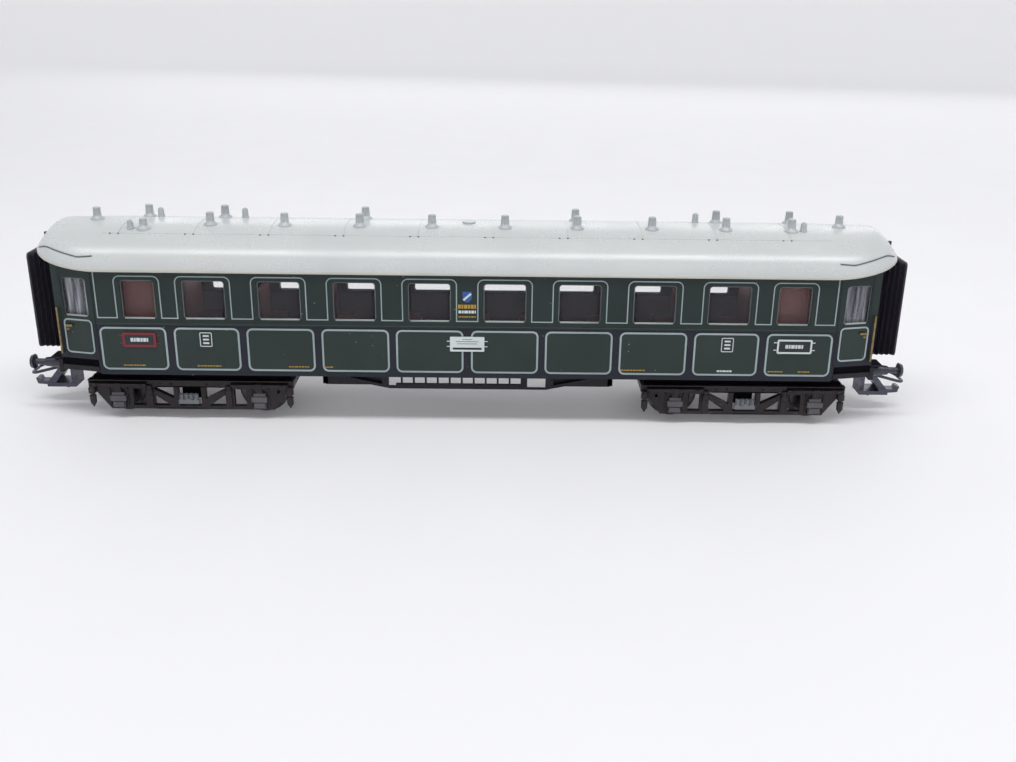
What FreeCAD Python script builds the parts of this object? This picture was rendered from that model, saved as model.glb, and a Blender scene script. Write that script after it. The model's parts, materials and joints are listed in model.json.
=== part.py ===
import FreeCAD, Part

import os
import re

import Sketcher
from FreeCAD import Placement, Rotation, Vector

# Four-axle express coach in H0 scale (1:87).  Millimetres, +Z up, X along the coach, Y across it.
# The origin is on the ground under the coach's centre; the wheel flanges touch Z = 0.

doc = FreeCAD.newDocument("coach")
sheet = doc.addObject("Spreadsheet::Sheet", "Sizes")

SIZES = [
    ("body_length", 211.0, "body side, end wall to end wall"),
    ("body_width", 33.2, "over the side panels"),
    ("wall", 1.2, "thickness of the moulded walls"),
    ("sill", 13.3, "height of the body's lower edge"),
    ("eaves", 40.8, "height of the body's upper edge"),
    ("porch_start", 94.3, "where the narrower entrance part begins"),
    ("porch_width", 32.0, "width where the entrance begins"),
    ("porch_end_width", 27.0, "width at the end wall"),
    ("porch_top", 42.9, "top of the entrance walls, inside the roof"),
    ("window_first", 9.55, "centre of the first window from the middle"),
    ("window_step", 19.0, "distance between windows"),
    ("window_width", 10.9, "compartment window"),
    ("corridor_window", 12.9, "window on the corridor side"),
    ("window_low", 28.3, "lower edge of the windows"),
    ("corridor_low", 27.5, "lower edge of the corridor windows"),
    ("window_high", 38.5, "upper edge of the windows"),
    ("window_round", 0.9, "corner radius of the windows"),
    ("closet_place", 83.1, "centre of the narrow window"),
    ("closet_window", 8.6, "width of the narrow window"),
    ("door_place", 99.7, "centre of the entrance door"),
    ("door_window", 6.8, "width of the door window"),
    ("slot_start", 95.1, "start of the recess over the step board"),
    ("slot_top", 16.9, "top of that recess"),
    ("slot_face", 11.9, "how far out the recess reaches in"),
    ("gangway_width", 8.4, "opening in the end wall"),
    ("gangway_low", 18.4, "sill of that opening"),
    ("gangway_high", 38.6, "head of that opening"),
    ("end_door_thick", 0.8, "sliding door in the gangway"),
    ("roof_length", 225.0, "over the roof's hoods"),
    ("roof_width", 35.0, "over the gutters"),
    ("roof_top", 50.4, "height of the ridge"),
    ("roof_skin", 1.0, "thickness of the roof moulding"),
    ("hood_start", 106.5, "where the ridge begins to fall"),
    ("hood_lip", 43.6, "height of the ridge line at its tip"),
    ("rim_start", 92.5, "where the gutter begins to curve in"),
    ("rim_rise", 2.5, "how much the gutter rises to the tip"),
    ("pane_thick", 0.8, "clear strip behind the walls"),
    ("pane_gap", 0.05, "play between the strip and the wall"),
    ("pane_low", 27.0, "lower edge of the clear strip"),
    ("pane_high", 39.8, "upper edge of the clear strip"),
    ("pane_boss", 0.7, "how far each pane stands into its opening"),
    ("deck_low", 14.2, "underside of the chassis plate"),
    ("deck_thick", 1.2, "thickness of the chassis plate"),
    ("deck_gap", 0.1, "play between chassis and body"),
    ("ballast_length", 150.0, "steel weight"),
    ("ballast_width", 24.0, "steel weight"),
    ("ballast_thick", 1.6, "steel weight"),
    ("floor_low", 17.1, "underside of the interior moulding"),
    ("floor_thick", 1.0, "thickness of its floor"),
    ("floor_width", 28.6, "width of the interior moulding"),
    ("back_high", 30.8, "top of the seat backs"),
    ("back_thick", 1.0, "thickness of a seat back"),
    ("seat_high", 21.6, "top of the seats"),
    ("seat_deep", 4.8, "depth of a seat"),
    ("closet_in", 75.4, "inner wall of the washroom"),
    ("closet_out", 91.4, "outer wall of the washroom"),
    ("closet_high", 39.4, "top of the washroom walls"),
    ("closet_width", 25.6, "over the washroom's side walls"),
    ("bolster_boss", 3.6, "radius of the boss over a bogie"),
    ("boss_low", 10.9, "where that boss meets the bogie"),
    ("rib_out", 44.0, "end of the sole bars"),
    ("rib_place", 9.0, "sole bar, out from the middle"),
    ("rib_thick", 1.2, "sole bar"),
    ("rib_low", 12.4, "underside of the sole bars"),
    ("beam_thick", 1.1, "buffer beam"),
    ("beam_width", 26.4, "buffer beam"),
    ("beam_low", 12.6, "buffer beam"),
    ("beam_high", 16.1, "buffer beam"),
    ("lip_thick", 0.4, "plate over the buffer"),
    ("lip_deep", 3.4, "plate over the buffer"),
    ("lip_width", 5.0, "plate over the buffer"),
    ("buffer_tip", 115.0, "half the length over buffers"),
    ("buffer_place", 10.0, "buffer, out from the middle"),
    ("buffer_high", 14.3, "buffer centre height"),
    ("buffer_head", 2.0, "radius of the buffer head"),
    ("head_thick", 0.8, "thickness of the buffer head"),
    ("sleeve_base", 1.7, "radius of the sleeve at the beam"),
    ("sleeve_nose", 1.2, "radius of the sleeve at its nose"),
    ("sleeve_long", 4.6, "length of the sleeve"),
    ("plunger", 0.85, "radius of the plunger"),
    ("bellows_width", 13.2, "over the pleats"),
    ("bellows_low", 17.1, "lower edge of the bellows"),
    ("bellows_high", 42.6, "upper edge of the bellows"),
    ("bellows_deep", 8.6, "how far the bellows stand out"),
    ("pleat_deep", 0.6, "depth of the pleats"),
    ("board_low", 13.7, "underside of the step board"),
    ("board_thick", 1.3, "thickness of the step board"),
    ("board_proud", 0.15, "step board, in front of the wall above it"),
    ("board_back", 12.6, "front of the recess's back plate"),
    ("board_end", 105.2, "end of the step board"),
    ("truss_foot", 20.6, "where the truss rod turns level"),
    ("truss_end", 41.6, "where the truss rod meets the sole bar"),
    ("truss_low", 8.7, "underside of the level rod"),
    ("truss_bar", 0.8, "height of the rod"),
    ("truss_place", 12.6, "outer face of the truss, from the middle"),
    ("truss_thick", 0.9, "thickness of the truss"),
    ("rack_step", 3.16, "distance between the rack's bars"),
    ("rack_bar", 0.5, "width of one bar of the rack"),
    ("rack_start", 20.8, "first bar of the rack"),
    ("rack_count", 11, "spaces between the rack's bars"),
    ("rack_beam", 1.3, "height of the beam under the rack"),
    ("notch_deep", 0.7, "step down in the rack's first space"),
    ("notch_wide", 1.9, "width of that step"),
    ("truss_post", 2.0, "post where the rod turns up"),
    ("gap_start", 15.7, "wide space beside the rack"),
    ("gap_end", 20.5, "end of that space"),
    ("tank_start", 21.6, "inner end of an equipment box"),
    ("tank_end", 37.6, "outer end of an equipment box"),
    ("tank_low", 9.2, "underside of an equipment box"),
    ("tank_deep", 6.0, "equipment box, across the coach"),
    ("tank_gap", 0.5, "equipment box to the truss"),
    ("vent_base", 1.6, "radius of a ventilator's foot"),
    ("vent_neck", 1.0, "radius of a ventilator's body"),
    ("vent_cap", 0.85, "radius of a ventilator's top"),
    ("vent_high", 53.6, "top of the ventilators"),
    ("vent_tall", 2.7, "height of a ventilator's body"),
    ("vent_foot", 1.4, "height of a ventilator's foot"),
    ("vent_row", 4.6, "ventilator row, out from the ridge"),
    ("vent_small", 0.75, "radius of a small ventilator"),
    ("cap_radius", 1.7, "flat cap on the ridge"),
    ("cap_high", 50.9, "top of that cap"),
    ("rail_place", 104.8, "entrance handrail"),
    ("rail_low", 18.2, "foot of the handrail"),
    ("rail_high", 30.5, "top of the handrail"),
    ("rail_radius", 0.28, "radius of the handrail"),
    ("rail_stand", 0.75, "handrail, out from the wall"),
    ("rail_pin", 0.2, "radius of the handrail's two pins"),
    ("handle_place", 102.5, "door handle"),
    ("handle_high", 25.9, "door handle"),
    ("lamp_place", 111.0, "lamp iron on the hood"),
    ("lamp_high", 46.9, "top of the lamp iron"),
    ("pivot_place", 73.2, "bogie pivot, out from the middle"),
    ("pivot_pin", 1.5, "radius of the pivot screw"),
    ("pivot_hole", 1.55, "radius of the bogie's pivot hole"),
    ("pivot_head", 2.6, "radius of the screw's head"),
    ("axle_space", 37.0, "bogie wheelbase"),
    ("axle_high", 6.7, "axle height"),
    ("tread", 5.5, "wheel radius on the tread"),
    ("flange", 6.7, "wheel radius on the flange"),
    ("back_to_back", 14.3, "between the wheels"),
    ("tyre_width", 2.9, "width of a wheel"),
    ("axle", 1.0, "axle radius"),
    ("journal", 0.5, "radius of the axle's journals"),
    ("journal_hole", 0.55, "radius of the bearing holes"),
    ("journal_end", 13.1, "end of the journals"),
    ("axle_end", 11.2, "end of the axle's thick part"),
    ("side_in", 12.0, "inner face of the bogie sides"),
    ("side_thick", 1.6, "thickness of the bogie sides"),
    ("side_outer", 26.3, "bogie side, from its middle to the end near the buffers"),
    ("side_inner", 27.5, "bogie side, from its middle to the other end"),
    ("side_top", 10.8, "top of the bogie side"),
    ("side_beam", 8.75, "underside of its top beam"),
    ("side_lip", 1.2, "level part at each end, before the side slopes in"),
    ("foot_outer", 20.8, "lower bar, from the middle to the end near the buffers"),
    ("foot_inner", 22.2, "lower bar, from the middle to the other end"),
    ("side_low", 2.65, "underside of the lower bar"),
    ("side_bar", 3.6, "top of the lower bar"),
    ("guard_in", 14.9, "inner edge of the axle guard"),
    ("guard_top", 8.3, "top of the opening beside the guard"),
    ("post_out", 11.7, "outer edge of the main post"),
    ("post_in", 9.4, "inner edge of the main post"),
    ("strut_in", 5.0, "foot of the sloping strut"),
    ("strut_bar", 1.0, "height of the sloping strut"),
    ("side_hole_place", 23.3, "round hole near the inner end of a side"),
    ("side_hole_high", 7.8, "height of that hole"),
    ("side_hole", 0.5, "radius of that hole"),
    ("cell", 3.0, "half the spring opening"),
    ("cell_post", 1.2, "post beside the spring opening"),
    ("frame_low", 8.9, "underside of the bogie's cross frame"),
    ("frame_thick", 1.6, "bogie cross frame"),
    ("frame_bolster", 18.0, "length of the bolster"),
    ("frame_spine", 6.0, "width of the spine"),
    ("frame_beam", 1.5, "end beam of the bogie"),
    ("box_width", 3.1, "axlebox"),
    ("box_low", 3.3, "axlebox"),
    ("box_high", 7.5, "axlebox"),
    ("box_deep", 0.9, "axlebox"),
    ("lid_width", 4.0, "axlebox lid"),
    ("leaf_reach", 7.4, "half the leaf spring"),
    ("leaf_top", 9.9, "leaf spring"),
    ("leaf_low", 8.7, "leaf spring"),
    ("leaf_deep", 0.9, "leaf spring"),
    ("buckle", 0.9, "half the spring buckle"),
    ("cradle_low", 4.6, "underside of the spring cradle"),
    ("cradle_top", 6.0, "top of the spring cradle"),
    ("cradle_half", 2.7, "half the spring cradle"),
    ("coil", 0.75, "radius of a coil spring"),
    ("coil_step", 1.75, "distance between coil springs"),
    ("coil_high", 7.4, "top of the coil springs"),
    ("hanger_width", 2.0, "block hanging at the bogie's end"),
    ("hanger_low", 3.3, "its lower end"),
    ("hitch_place", 103.2, "coupler pivot"),
    ("hitch_pin", 0.8, "radius of the coupler's pin"),
    ("hitch_hole", 0.86, "radius of the coupler's eye"),
    ("hitch_eye", 1.5, "outer radius of that eye"),
    ("shank_low", 10.5, "coupler shank"),
    ("shank_high", 12.0, "coupler shank"),
    ("shank_width", 3.2, "coupler shank"),
    ("cage_start", 107.2, "coupler cage, inner end"),
    ("cage_brow", 109.8, "coupler cage, where it slopes"),
    ("cage_tip", 115.0, "coupler cage, outer end"),
    ("cage_low", 4.6, "coupler cage"),
    ("cage_wide", 6.0, "coupler cage"),
    ("cage_bar", 1.1, "thickness of its bars"),
    ("hook_tip", 118.6, "end of the coupler hook"),
    ("hook_wide", 3.0, "coupler hook"),
    ("loop_pin", 0.4, "radius of the loop's wire"),
    ("loop_hole", 0.45, "radius of its bearing"),
    ("loop_place", 108.7, "loop hinge"),
    ("loop_high", 11.25, "loop hinge"),
    ("loop_tip", 118.7, "end of the loop"),
    ("loop_tip_high", 8.6, "end of the loop"),
    ("loop_out", 3.9, "wire centre, out from the middle"),
    ("loop_round", 2.2, "corner radius of the loop"),
    ("trip_pin", 0.5, "radius of the uncoupling pin"),
    ("trip_place", 110.6, "uncoupling pin"),
    ("trip_low", 3.5, "uncoupling pin"),
]

for row, (alias, value, meaning) in enumerate(SIZES, start=1):
    sheet.set(f"A{row}", alias)
    sheet.set(f"B{row}", str(value))
    sheet.set(f"C{row}", meaning)
    sheet.setAlias(f"B{row}", alias)
doc.recompute()

nodes = []


# ---------------------------------------------------------------- helpers

def size(word):
    """Value of one cell, for shapes that are made in code."""
    return float(getattr(sheet, word))


def formula(text):
    """Turn a formula written in the sheet's words into a FreeCAD expression."""
    return re.sub(r"[a-z][a-z_]*[a-z]", lambda word: "Sizes." + word.group(0), str(text))


def bind(piece, **properties):
    for name, text in properties.items():
        piece.setExpression(name, formula(text))


def put(piece, x=0, y=0, z=0):
    piece.setExpression("Placement.Base.x", formula(x))
    piece.setExpression("Placement.Base.y", formula(y))
    piece.setExpression("Placement.Base.z", formula(z))
    return piece


def block(name, length, width, low, high, x=0, y=0):
    """Box centred on (x, y), from height low to height high."""
    piece = doc.addObject("Part::Box", name)
    bind(piece, Length=length, Width=width, Height=f"({high}) - ({low})")
    return put(piece, f"({x}) - ({length}) / 2", f"({y}) - ({width}) / 2", low)


TURNS = {
    "+x": Rotation(Vector(0, 1, 0), 90),
    "-x": Rotation(Vector(0, 1, 0), -90),
    "+y": Rotation(Vector(1, 0, 0), -90),
    "+z": Rotation(),
}


def rod(name, radius, length, x=0, y=0, z=0, along="+z"):
    """Cylinder that starts at (x, y, z) and runs along one axis."""
    piece = doc.addObject("Part::Cylinder", name)
    bind(piece, Radius=radius, Height=length)
    piece.Placement = Placement(Vector(), TURNS[along])
    return put(piece, x, y, z)


def cone(name, foot, top, length, x=0, y=0, z=0, along="+z"):
    piece = doc.addObject("Part::Cone", name)
    bind(piece, Radius1=foot, Radius2=top, Height=length)
    piece.Placement = Placement(Vector(), TURNS[along])
    return put(piece, x, y, z)


def join(name, pieces):
    """Pieces that touch become one solid; pieces that stand apart stay separate solids."""
    joined = doc.addObject("Part::MultiFuse", name)
    joined.Shapes = pieces
    joined.Refine = True
    return joined


def cut(name, base, tool):
    result = doc.addObject("Part::Cut", name)
    result.Base = base
    result.Tool = tool
    return result


def node(piece, label):
    """Name a finished sub-part; it is written to a file of that name."""
    piece.Label = label
    nodes.append(piece)
    return piece


def origin_plane(body, role):
    for feature in body.Origin.OriginFeatures:
        if feature.Role == role:
            return feature
    raise ValueError("no plane " + role)


def pin_point(sketch, geometry, number, axis, text):
    """Tie one corner of a sketch to the sheet, or to the sketch's own axis where it is zero."""
    if str(text) == "0":
        line = -2 if axis == "X" else -1
        sketch.addConstraint(Sketcher.Constraint("PointOnObject", geometry, 1, line))
        return
    start = sketch.Geometry[geometry].StartPoint
    value = start.x if axis == "X" else start.y
    constraint = Sketcher.Constraint("Distance" + axis, -1, 1, geometry, 1, value)
    sketch.addConstraint(constraint)
    name = f"{axis.lower()}_{number}"
    sketch.renameConstraint(sketch.ConstraintCount - 1, name)
    sketch.setExpression("Constraints." + name, formula(text))


def add_loop(sketch, corners):
    """Closed straight-sided loop.  Its corners start on a circle and the sheet moves them home."""
    first = sketch.GeometryCount
    count = len(corners)
    ring = [Rotation(Vector(0, 0, 1), 360.0 * i / count).multVec(Vector(10, 1, 0)) for i in range(count)]
    for i in range(count):
        sketch.addGeometry(Part.LineSegment(ring[i], ring[(i + 1) % count]), False)
    for i in range(count):
        following = first + (i + 1) % count
        sketch.addConstraint(Sketcher.Constraint("Coincident", first + i, 2, following, 1))
    for i, (across, up) in enumerate(corners):
        pin_point(sketch, first + i, first + i, "X", across)
        pin_point(sketch, first + i, first + i, "Y", up)


def add_circle(sketch, across, up, radius):
    index = sketch.addGeometry(Part.Circle(Vector(1, 1, 0), Vector(0, 0, 1), 1), False)
    for letter, text in (("X", across), ("Y", up)):
        sketch.addConstraint(Sketcher.Constraint("Distance" + letter, -1, 1, index, 3, 1))
        name = f"{letter.lower()}_{index}"
        sketch.renameConstraint(sketch.ConstraintCount - 1, name)
        sketch.setExpression("Constraints." + name, formula(text))
    sketch.addConstraint(Sketcher.Constraint("Radius", index, 1))
    sketch.renameConstraint(sketch.ConstraintCount - 1, f"radius_{index}")
    sketch.setExpression(f"Constraints.radius_{index}", formula(radius))


def draw(body, name, role, loops, circles=(), away=0):
    """Sketch on one of the body's own origin planes, moved along the plane's normal by away."""
    sketch = body.newObject("Sketcher::SketchObject", name)
    sketch.AttachmentSupport = [(origin_plane(body, role), "")]
    sketch.MapMode = "FlatFace"
    sketch.setExpression("AttachmentOffset.Base.z", formula(away))
    for loop in loops:
        add_loop(sketch, loop)
    for circle in circles:
        add_circle(sketch, *circle)
    return sketch


def pad(body, name, sketch, length):
    feature = body.newObject("PartDesign::Pad", name)
    feature.Profile = sketch
    feature.setExpression("Length", formula(length))
    sketch.Visibility = False
    return feature


def pocket(body, name, sketch, length, middle=False):
    feature = body.newObject("PartDesign::Pocket", name)
    feature.Profile = sketch
    feature.setExpression("Length", formula(length))
    feature.Midplane = middle
    return feature


def rectangle(left, right, low, high):
    return [(left, low), (right, low), (right, high), (left, high)]


def plate(name, role, loops, thick, x=0, y=0, z=0, circles=()):
    """One sketch, padded: the usual flat piece."""
    body = doc.addObject("PartDesign::Body", name)
    pad(body, name + "_pad", draw(body, name + "_sketch", role, loops, circles), thick)
    return put(body, x, y, z)


def turned(name, profile, x=0, y=0, z=0):
    """Ring turned about its own Y axis from corners given as (along Y, radius)."""
    body = doc.addObject("PartDesign::Body", name)
    sketch = draw(body, name + "_sketch", "YZ_Plane", [profile])
    spin = body.newObject("PartDesign::Revolution", name + "_turn")
    spin.Profile = sketch
    spin.ReferenceAxis = (sketch, ["H_Axis"])
    spin.Angle = 360
    return put(body, x, y, z)


# ---------------------------------------------------------------- body

SIDES = (("near", -1), ("far", 1))
ENDS = (("left", -1), ("right", 1))


def porch_half(x):
    """Half-width of the tapering entrance at the distance x from the middle of the coach."""
    slope = "(porch_width - porch_end_width) / (body_length - 2 * porch_start)"
    return f"porch_width / 2 - (({x}) - porch_start) * {slope}"


def window_rows(width, low):
    """Openings of one coach side: four large windows each way, then a narrow one and the door's."""
    loops = []
    for end in (-1, 1):
        places = [(f"{end} * (window_first + {i} * window_step)", width, low) for i in range(4)]
        places.append((f"{end} * closet_place", "closet_window", "window_low"))
        places.append((f"{end} * door_place", "door_window", "window_low"))
        for middle, wide, foot in places:
            left = f"{middle} - {wide} / 2"
            right = f"{middle} + {wide} / 2"
            loops.append(rectangle(left, right, foot, "window_high"))
    return loops


def shell_outline(grow):
    """Plan of the body: full width in the middle, tapering entrances at both ends."""
    corners = []
    long = f"(body_length / 2 - {grow})"
    mid = f"(body_width / 2 - {grow})"
    step = f"(porch_start - {grow})"
    shoulder = f"(porch_width / 2 - {grow})"
    end = f"(porch_end_width / 2 - {grow})"
    quarter = [(long, end), (step, shoulder), (step, mid)]
    corners += quarter
    corners += [("-" + x, y) for x, y in reversed(quarter)]
    corners += [("-" + x, "-" + y) for x, y in quarter]
    corners += [(x, "-" + y) for x, y in reversed(quarter)]
    return corners


def porch_ring(end):
    """Plan of one entrance's three walls, open towards the middle of the coach."""
    outer_x = f"{end} * body_length / 2"
    inner_x = f"{end} * (body_length / 2 - wall)"
    start_x = f"{end} * porch_start"
    near = [(start_x, "-porch_width / 2"), (outer_x, "-porch_end_width / 2")]
    far = [(outer_x, "porch_end_width / 2"), (start_x, "porch_width / 2")]
    back = [(start_x, "porch_width / 2 - wall"), (inner_x, "porch_end_width / 2 - wall")]
    forth = [(inner_x, "wall - porch_end_width / 2"), (start_x, "wall - porch_width / 2")]
    return near + far + back + forth


def make_shell():
    body = doc.addObject("PartDesign::Body", "Shell")
    walls = draw(body, "shell_plan", "XY_Plane", [shell_outline("0"), shell_outline("wall")], away="sill")
    pad(body, "shell_walls", walls, "eaves - sill")
    for label, end in ENDS:
        crown = draw(body, f"porch_plan_{label}", "XY_Plane", [porch_ring(end)], away="eaves")
        pad(body, f"porch_{label}", crown, "porch_top - eaves")
    reach = "body_width / 2 - 4 * wall"
    rows = window_rows("window_width", "window_low")
    near = draw(body, "near_windows", "XZ_Plane", rows, away="body_width")
    pocket(body, "near_openings", near, f"body_width - ({reach})")
    rows = window_rows("corridor_window", "corridor_low")
    far = draw(body, "far_windows", "XZ_Plane", rows, away=f"-({reach})")
    pocket(body, "far_openings", far, f"body_width - ({reach})")
    slots = [
        rectangle(f"{end} * slot_start", f"{end} * body_length", "sill - wall", "slot_top")
        for end in (-1, 1)
    ]
    low = draw(body, "near_slots", "XZ_Plane", slots, away="body_width")
    pocket(body, "near_steps", low, "body_width - slot_face")
    low = draw(body, "far_slots", "XZ_Plane", slots, away="-slot_face")
    pocket(body, "far_steps", low, "body_width - slot_face")
    half = "gangway_width / 2"
    opening = rectangle("-" + half, half, "gangway_low", "gangway_high")
    passage = pocket(body, "gangways", draw(body, "gangway", "YZ_Plane", [opening]), "2 * body_length", True)
    doc.recompute()
    low_edge = size("corridor_low") - 0.01
    high_edge = size("window_high") + 0.01
    corners = []
    for number, edge in enumerate(passage.Shape.Edges, start=1):
        box = edge.BoundBox
        across = box.YLength > size("wall") / 2 and box.XLength < 0.01 and box.ZLength < 0.01
        if across and box.ZMin > low_edge and box.ZMax < high_edge and box.YLength < 3 * size("wall"):
            corners.append(f"Edge{number}")
    rounding = body.newObject("PartDesign::Fillet", "window_corners")
    rounding.Base = (passage, corners)
    rounding.setExpression("Radius", formula("window_round"))
    return body


# ---------------------------------------------------------------- roof

SECTION_POWER = 2.4
SECTION_ROOT = 2.0
PLAN_POWER = 2.1
CURVE_POINTS = 12
HOOD_MIDDLE = (0.53, 0.44)


def bulge(part, power, root):
    """Height of a superellipse at part of its half-width, both from 0 to 1."""
    return max(0.0, 1.0 - abs(part) ** power) ** (1.0 / root)


def curve_steps():
    """Values from 1 down to 0, closer together near 1, where the curve is steep."""
    return [1.0 - (i / CURVE_POINTS) ** 2 for i in range(CURVE_POINTS + 1)]


def spline(points):
    curve = Part.BSplineCurve()
    curve.interpolate(points)
    return curve.toShape()


def roof_section(inset, length):
    """Cross-section of the roof, run along the coach."""
    half_width = size("roof_width") / 2 - inset
    rise = size("roof_top") - size("eaves") - inset
    base = size("eaves")
    half = [
        Vector(-length, s * half_width, base + rise * bulge(s, SECTION_POWER, SECTION_ROOT))
        for s in curve_steps()
    ]
    points = half + [Vector(p.x, -p.y, p.z) for p in reversed(half[:-1])]
    lower = [Vector(0, 0, -inset - size("roof_skin")) + p for p in (points[-1], points[0])]
    if inset == 0:
        closing = [Part.LineSegment(points[-1], points[0]).toShape()]
    else:
        path = [points[-1], lower[0], lower[1], points[0]]
        closing = [Part.LineSegment(a, b).toShape() for a, b in zip(path, path[1:])]
    outline = Part.Wire([spline(points)] + closing)
    return Part.Face(outline).extrude(Vector(2 * length, 0, 0))


def roof_plan(inset):
    """Outline of the roof from above, with its rounded ends."""
    start = size("rim_start")
    reach = size("roof_length") / 2 - inset - start
    half_width = size("roof_width") / 2 - inset + size("pane_gap")
    low = size("sill")
    half = [
        Vector(start + reach * bulge(s, PLAN_POWER, PLAN_POWER), s * half_width, low)
        for s in curve_steps()
    ]
    right = half + [Vector(p.x, -p.y, p.z) for p in reversed(half[:-1])]
    left = [Vector(-p.x, -p.y, p.z) for p in right]
    sides = [
        Part.LineSegment(right[-1], left[0]).toShape(),
        Part.LineSegment(left[-1], right[0]).toShape(),
    ]
    outline = Part.Wire([spline(right), sides[0], spline(left), sides[1]])
    return Part.Face(outline).extrude(Vector(0, 0, size("roof_top")))


def roof_elevation(inset):
    """Side view of the roof: level ridge, falling hoods, and the gutter that rises to the tips."""
    tip = size("roof_length") / 2 - inset
    start = size("hood_start") - inset
    top = size("roof_top") - inset
    lip = size("hood_lip") - inset / 2
    rim = size("eaves") + size("rim_rise")
    low = size("eaves")
    if inset > 0:
        rim = low = size("eaves") - 3 * inset
    depth = size("roof_width")
    across = (tip - start) * HOOD_MIDDLE[0]
    drop = (top - lip) * HOOD_MIDDLE[1]
    quarter = [(start, top), (start + across, top - drop), (tip, lip)]
    right = [Vector(x, depth, z) for x, z in quarter]
    left = [Vector(-p.x, p.y, p.z) for p in right]
    rim_middle = size("rim_start") + (tip - size("rim_start")) * 0.5
    rim_points = [(tip, rim), (rim_middle, low + (rim - low) * 0.25), (size("rim_start"), low)]
    right_rim = [Vector(x, depth, z) for x, z in rim_points]
    left_rim = [Vector(-p.x, p.y, p.z) for p in right_rim]
    if inset > 0:
        lower_right = Part.LineSegment(right_rim[0], right_rim[2]).toShape()
        lower_left = Part.LineSegment(left_rim[2], left_rim[0]).toShape()
    else:
        lower_right = Part.Arc(*right_rim).toShape()
        lower_left = Part.Arc(*reversed(left_rim)).toShape()
    edges = [
        Part.LineSegment(left[0], right[0]).toShape(),
        Part.Arc(*right).toShape(),
        Part.LineSegment(right[2], right_rim[0]).toShape(),
        lower_right,
        Part.LineSegment(right_rim[2], left_rim[2]).toShape(),
        lower_left,
        Part.LineSegment(left_rim[0], left[2]).toShape(),
        Part.Arc(*reversed(left)).toShape(),
    ]
    return Part.Face(Part.Wire(edges)).extrude(Vector(0, -2 * depth, 0))


def roof_solid(inset):
    long = size("roof_length")
    return roof_section(inset, long).common(roof_plan(inset)).common(roof_elevation(inset))


def make_roof():
    core = doc.addObject("Part::Feature", "RoofCore")
    core.Shape = roof_solid(0)
    core.Placement = Placement()
    hollow = doc.addObject("Part::Feature", "RoofHollow")
    hollow.Shape = roof_solid(size("roof_skin"))
    hollow.Placement = Placement()
    skin = node(cut("Roof", core, hollow), "roof")
    return core, skin


def ventilator(name, x, y, radius_scale, top):
    """Flared foot under a round body with a narrower top."""
    neck = f"vent_neck * {radius_scale}"
    body = cone(name + "_body", neck, f"vent_cap * {radius_scale}", "vent_tall", x, y, f"({top}) - vent_tall")
    foot = cone(name + "_foot", f"vent_base * {radius_scale}", neck, "vent_foot", x, y,
                f"({top}) - vent_tall - vent_foot")
    return [body, foot]


def make_roof_trim(core):
    """Ventilators, each row a group, trimmed to the roof they stand on."""
    near = [(x, -1, 0) for x in (-66.4, -47.3, -28.0, -9.4, 9.4, 28.0, 47.3, 66.4)]
    rows = {
        "roof_vents_near": near + [(83.3, -1.1, 0), (-82.6, -1.7, -1.1)],
        "roof_vents_far": [(x, 1, 0) for x in (-84.8, -64.8, -27.6, 28.1, 65.5, 85.0)],
        "roof_vents_end": [(-97.0, 0, 0), (97.0, 0, 0)],
    }
    for label, places in rows.items():
        pieces = []
        for number, (x, row, drop) in enumerate(places):
            pieces += ventilator(f"{label}_{number}", x, f"{row} * vent_row", 1, f"vent_high + {drop}")
        node(cut(label + "_set", join(label + "_all", pieces), core), label)
    small = [(-85.9, -1.75, -1.6), (86.4, -1.1, -0.9), (-81.9, 1.1, -0.9), (-59.5, 1, -0.7), (60.0, 1, -0.7)]
    pieces = []
    for number, (x, row, drop) in enumerate(small):
        top = f"vent_high + {drop}"
        pieces.append(rod(f"small_vent_{number}", "vent_small", "vent_tall + vent_foot", x,
                          f"{row} * vent_row", f"{top} - vent_tall - vent_foot"))
    node(cut("roof_vents_small_set", join("roof_vents_small_all", pieces), core), "roof_vents_small")
    cap = rod("cap_disc", "cap_radius", "roof_skin", 0, 0, "cap_high - roof_skin")
    node(cut("cap_trimmed", cap, core), "roof_cap")
    irons = [rod(f"lamp_iron_{label}", 0.5, "2 * roof_skin", f"{end} * lamp_place", 0,
                 "lamp_high - 2 * roof_skin") for label, end in ENDS]
    node(cut("lamp_irons_set", join("lamp_irons_all", irons), core), "lamp_irons")


# ---------------------------------------------------------------- inside the body

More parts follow.
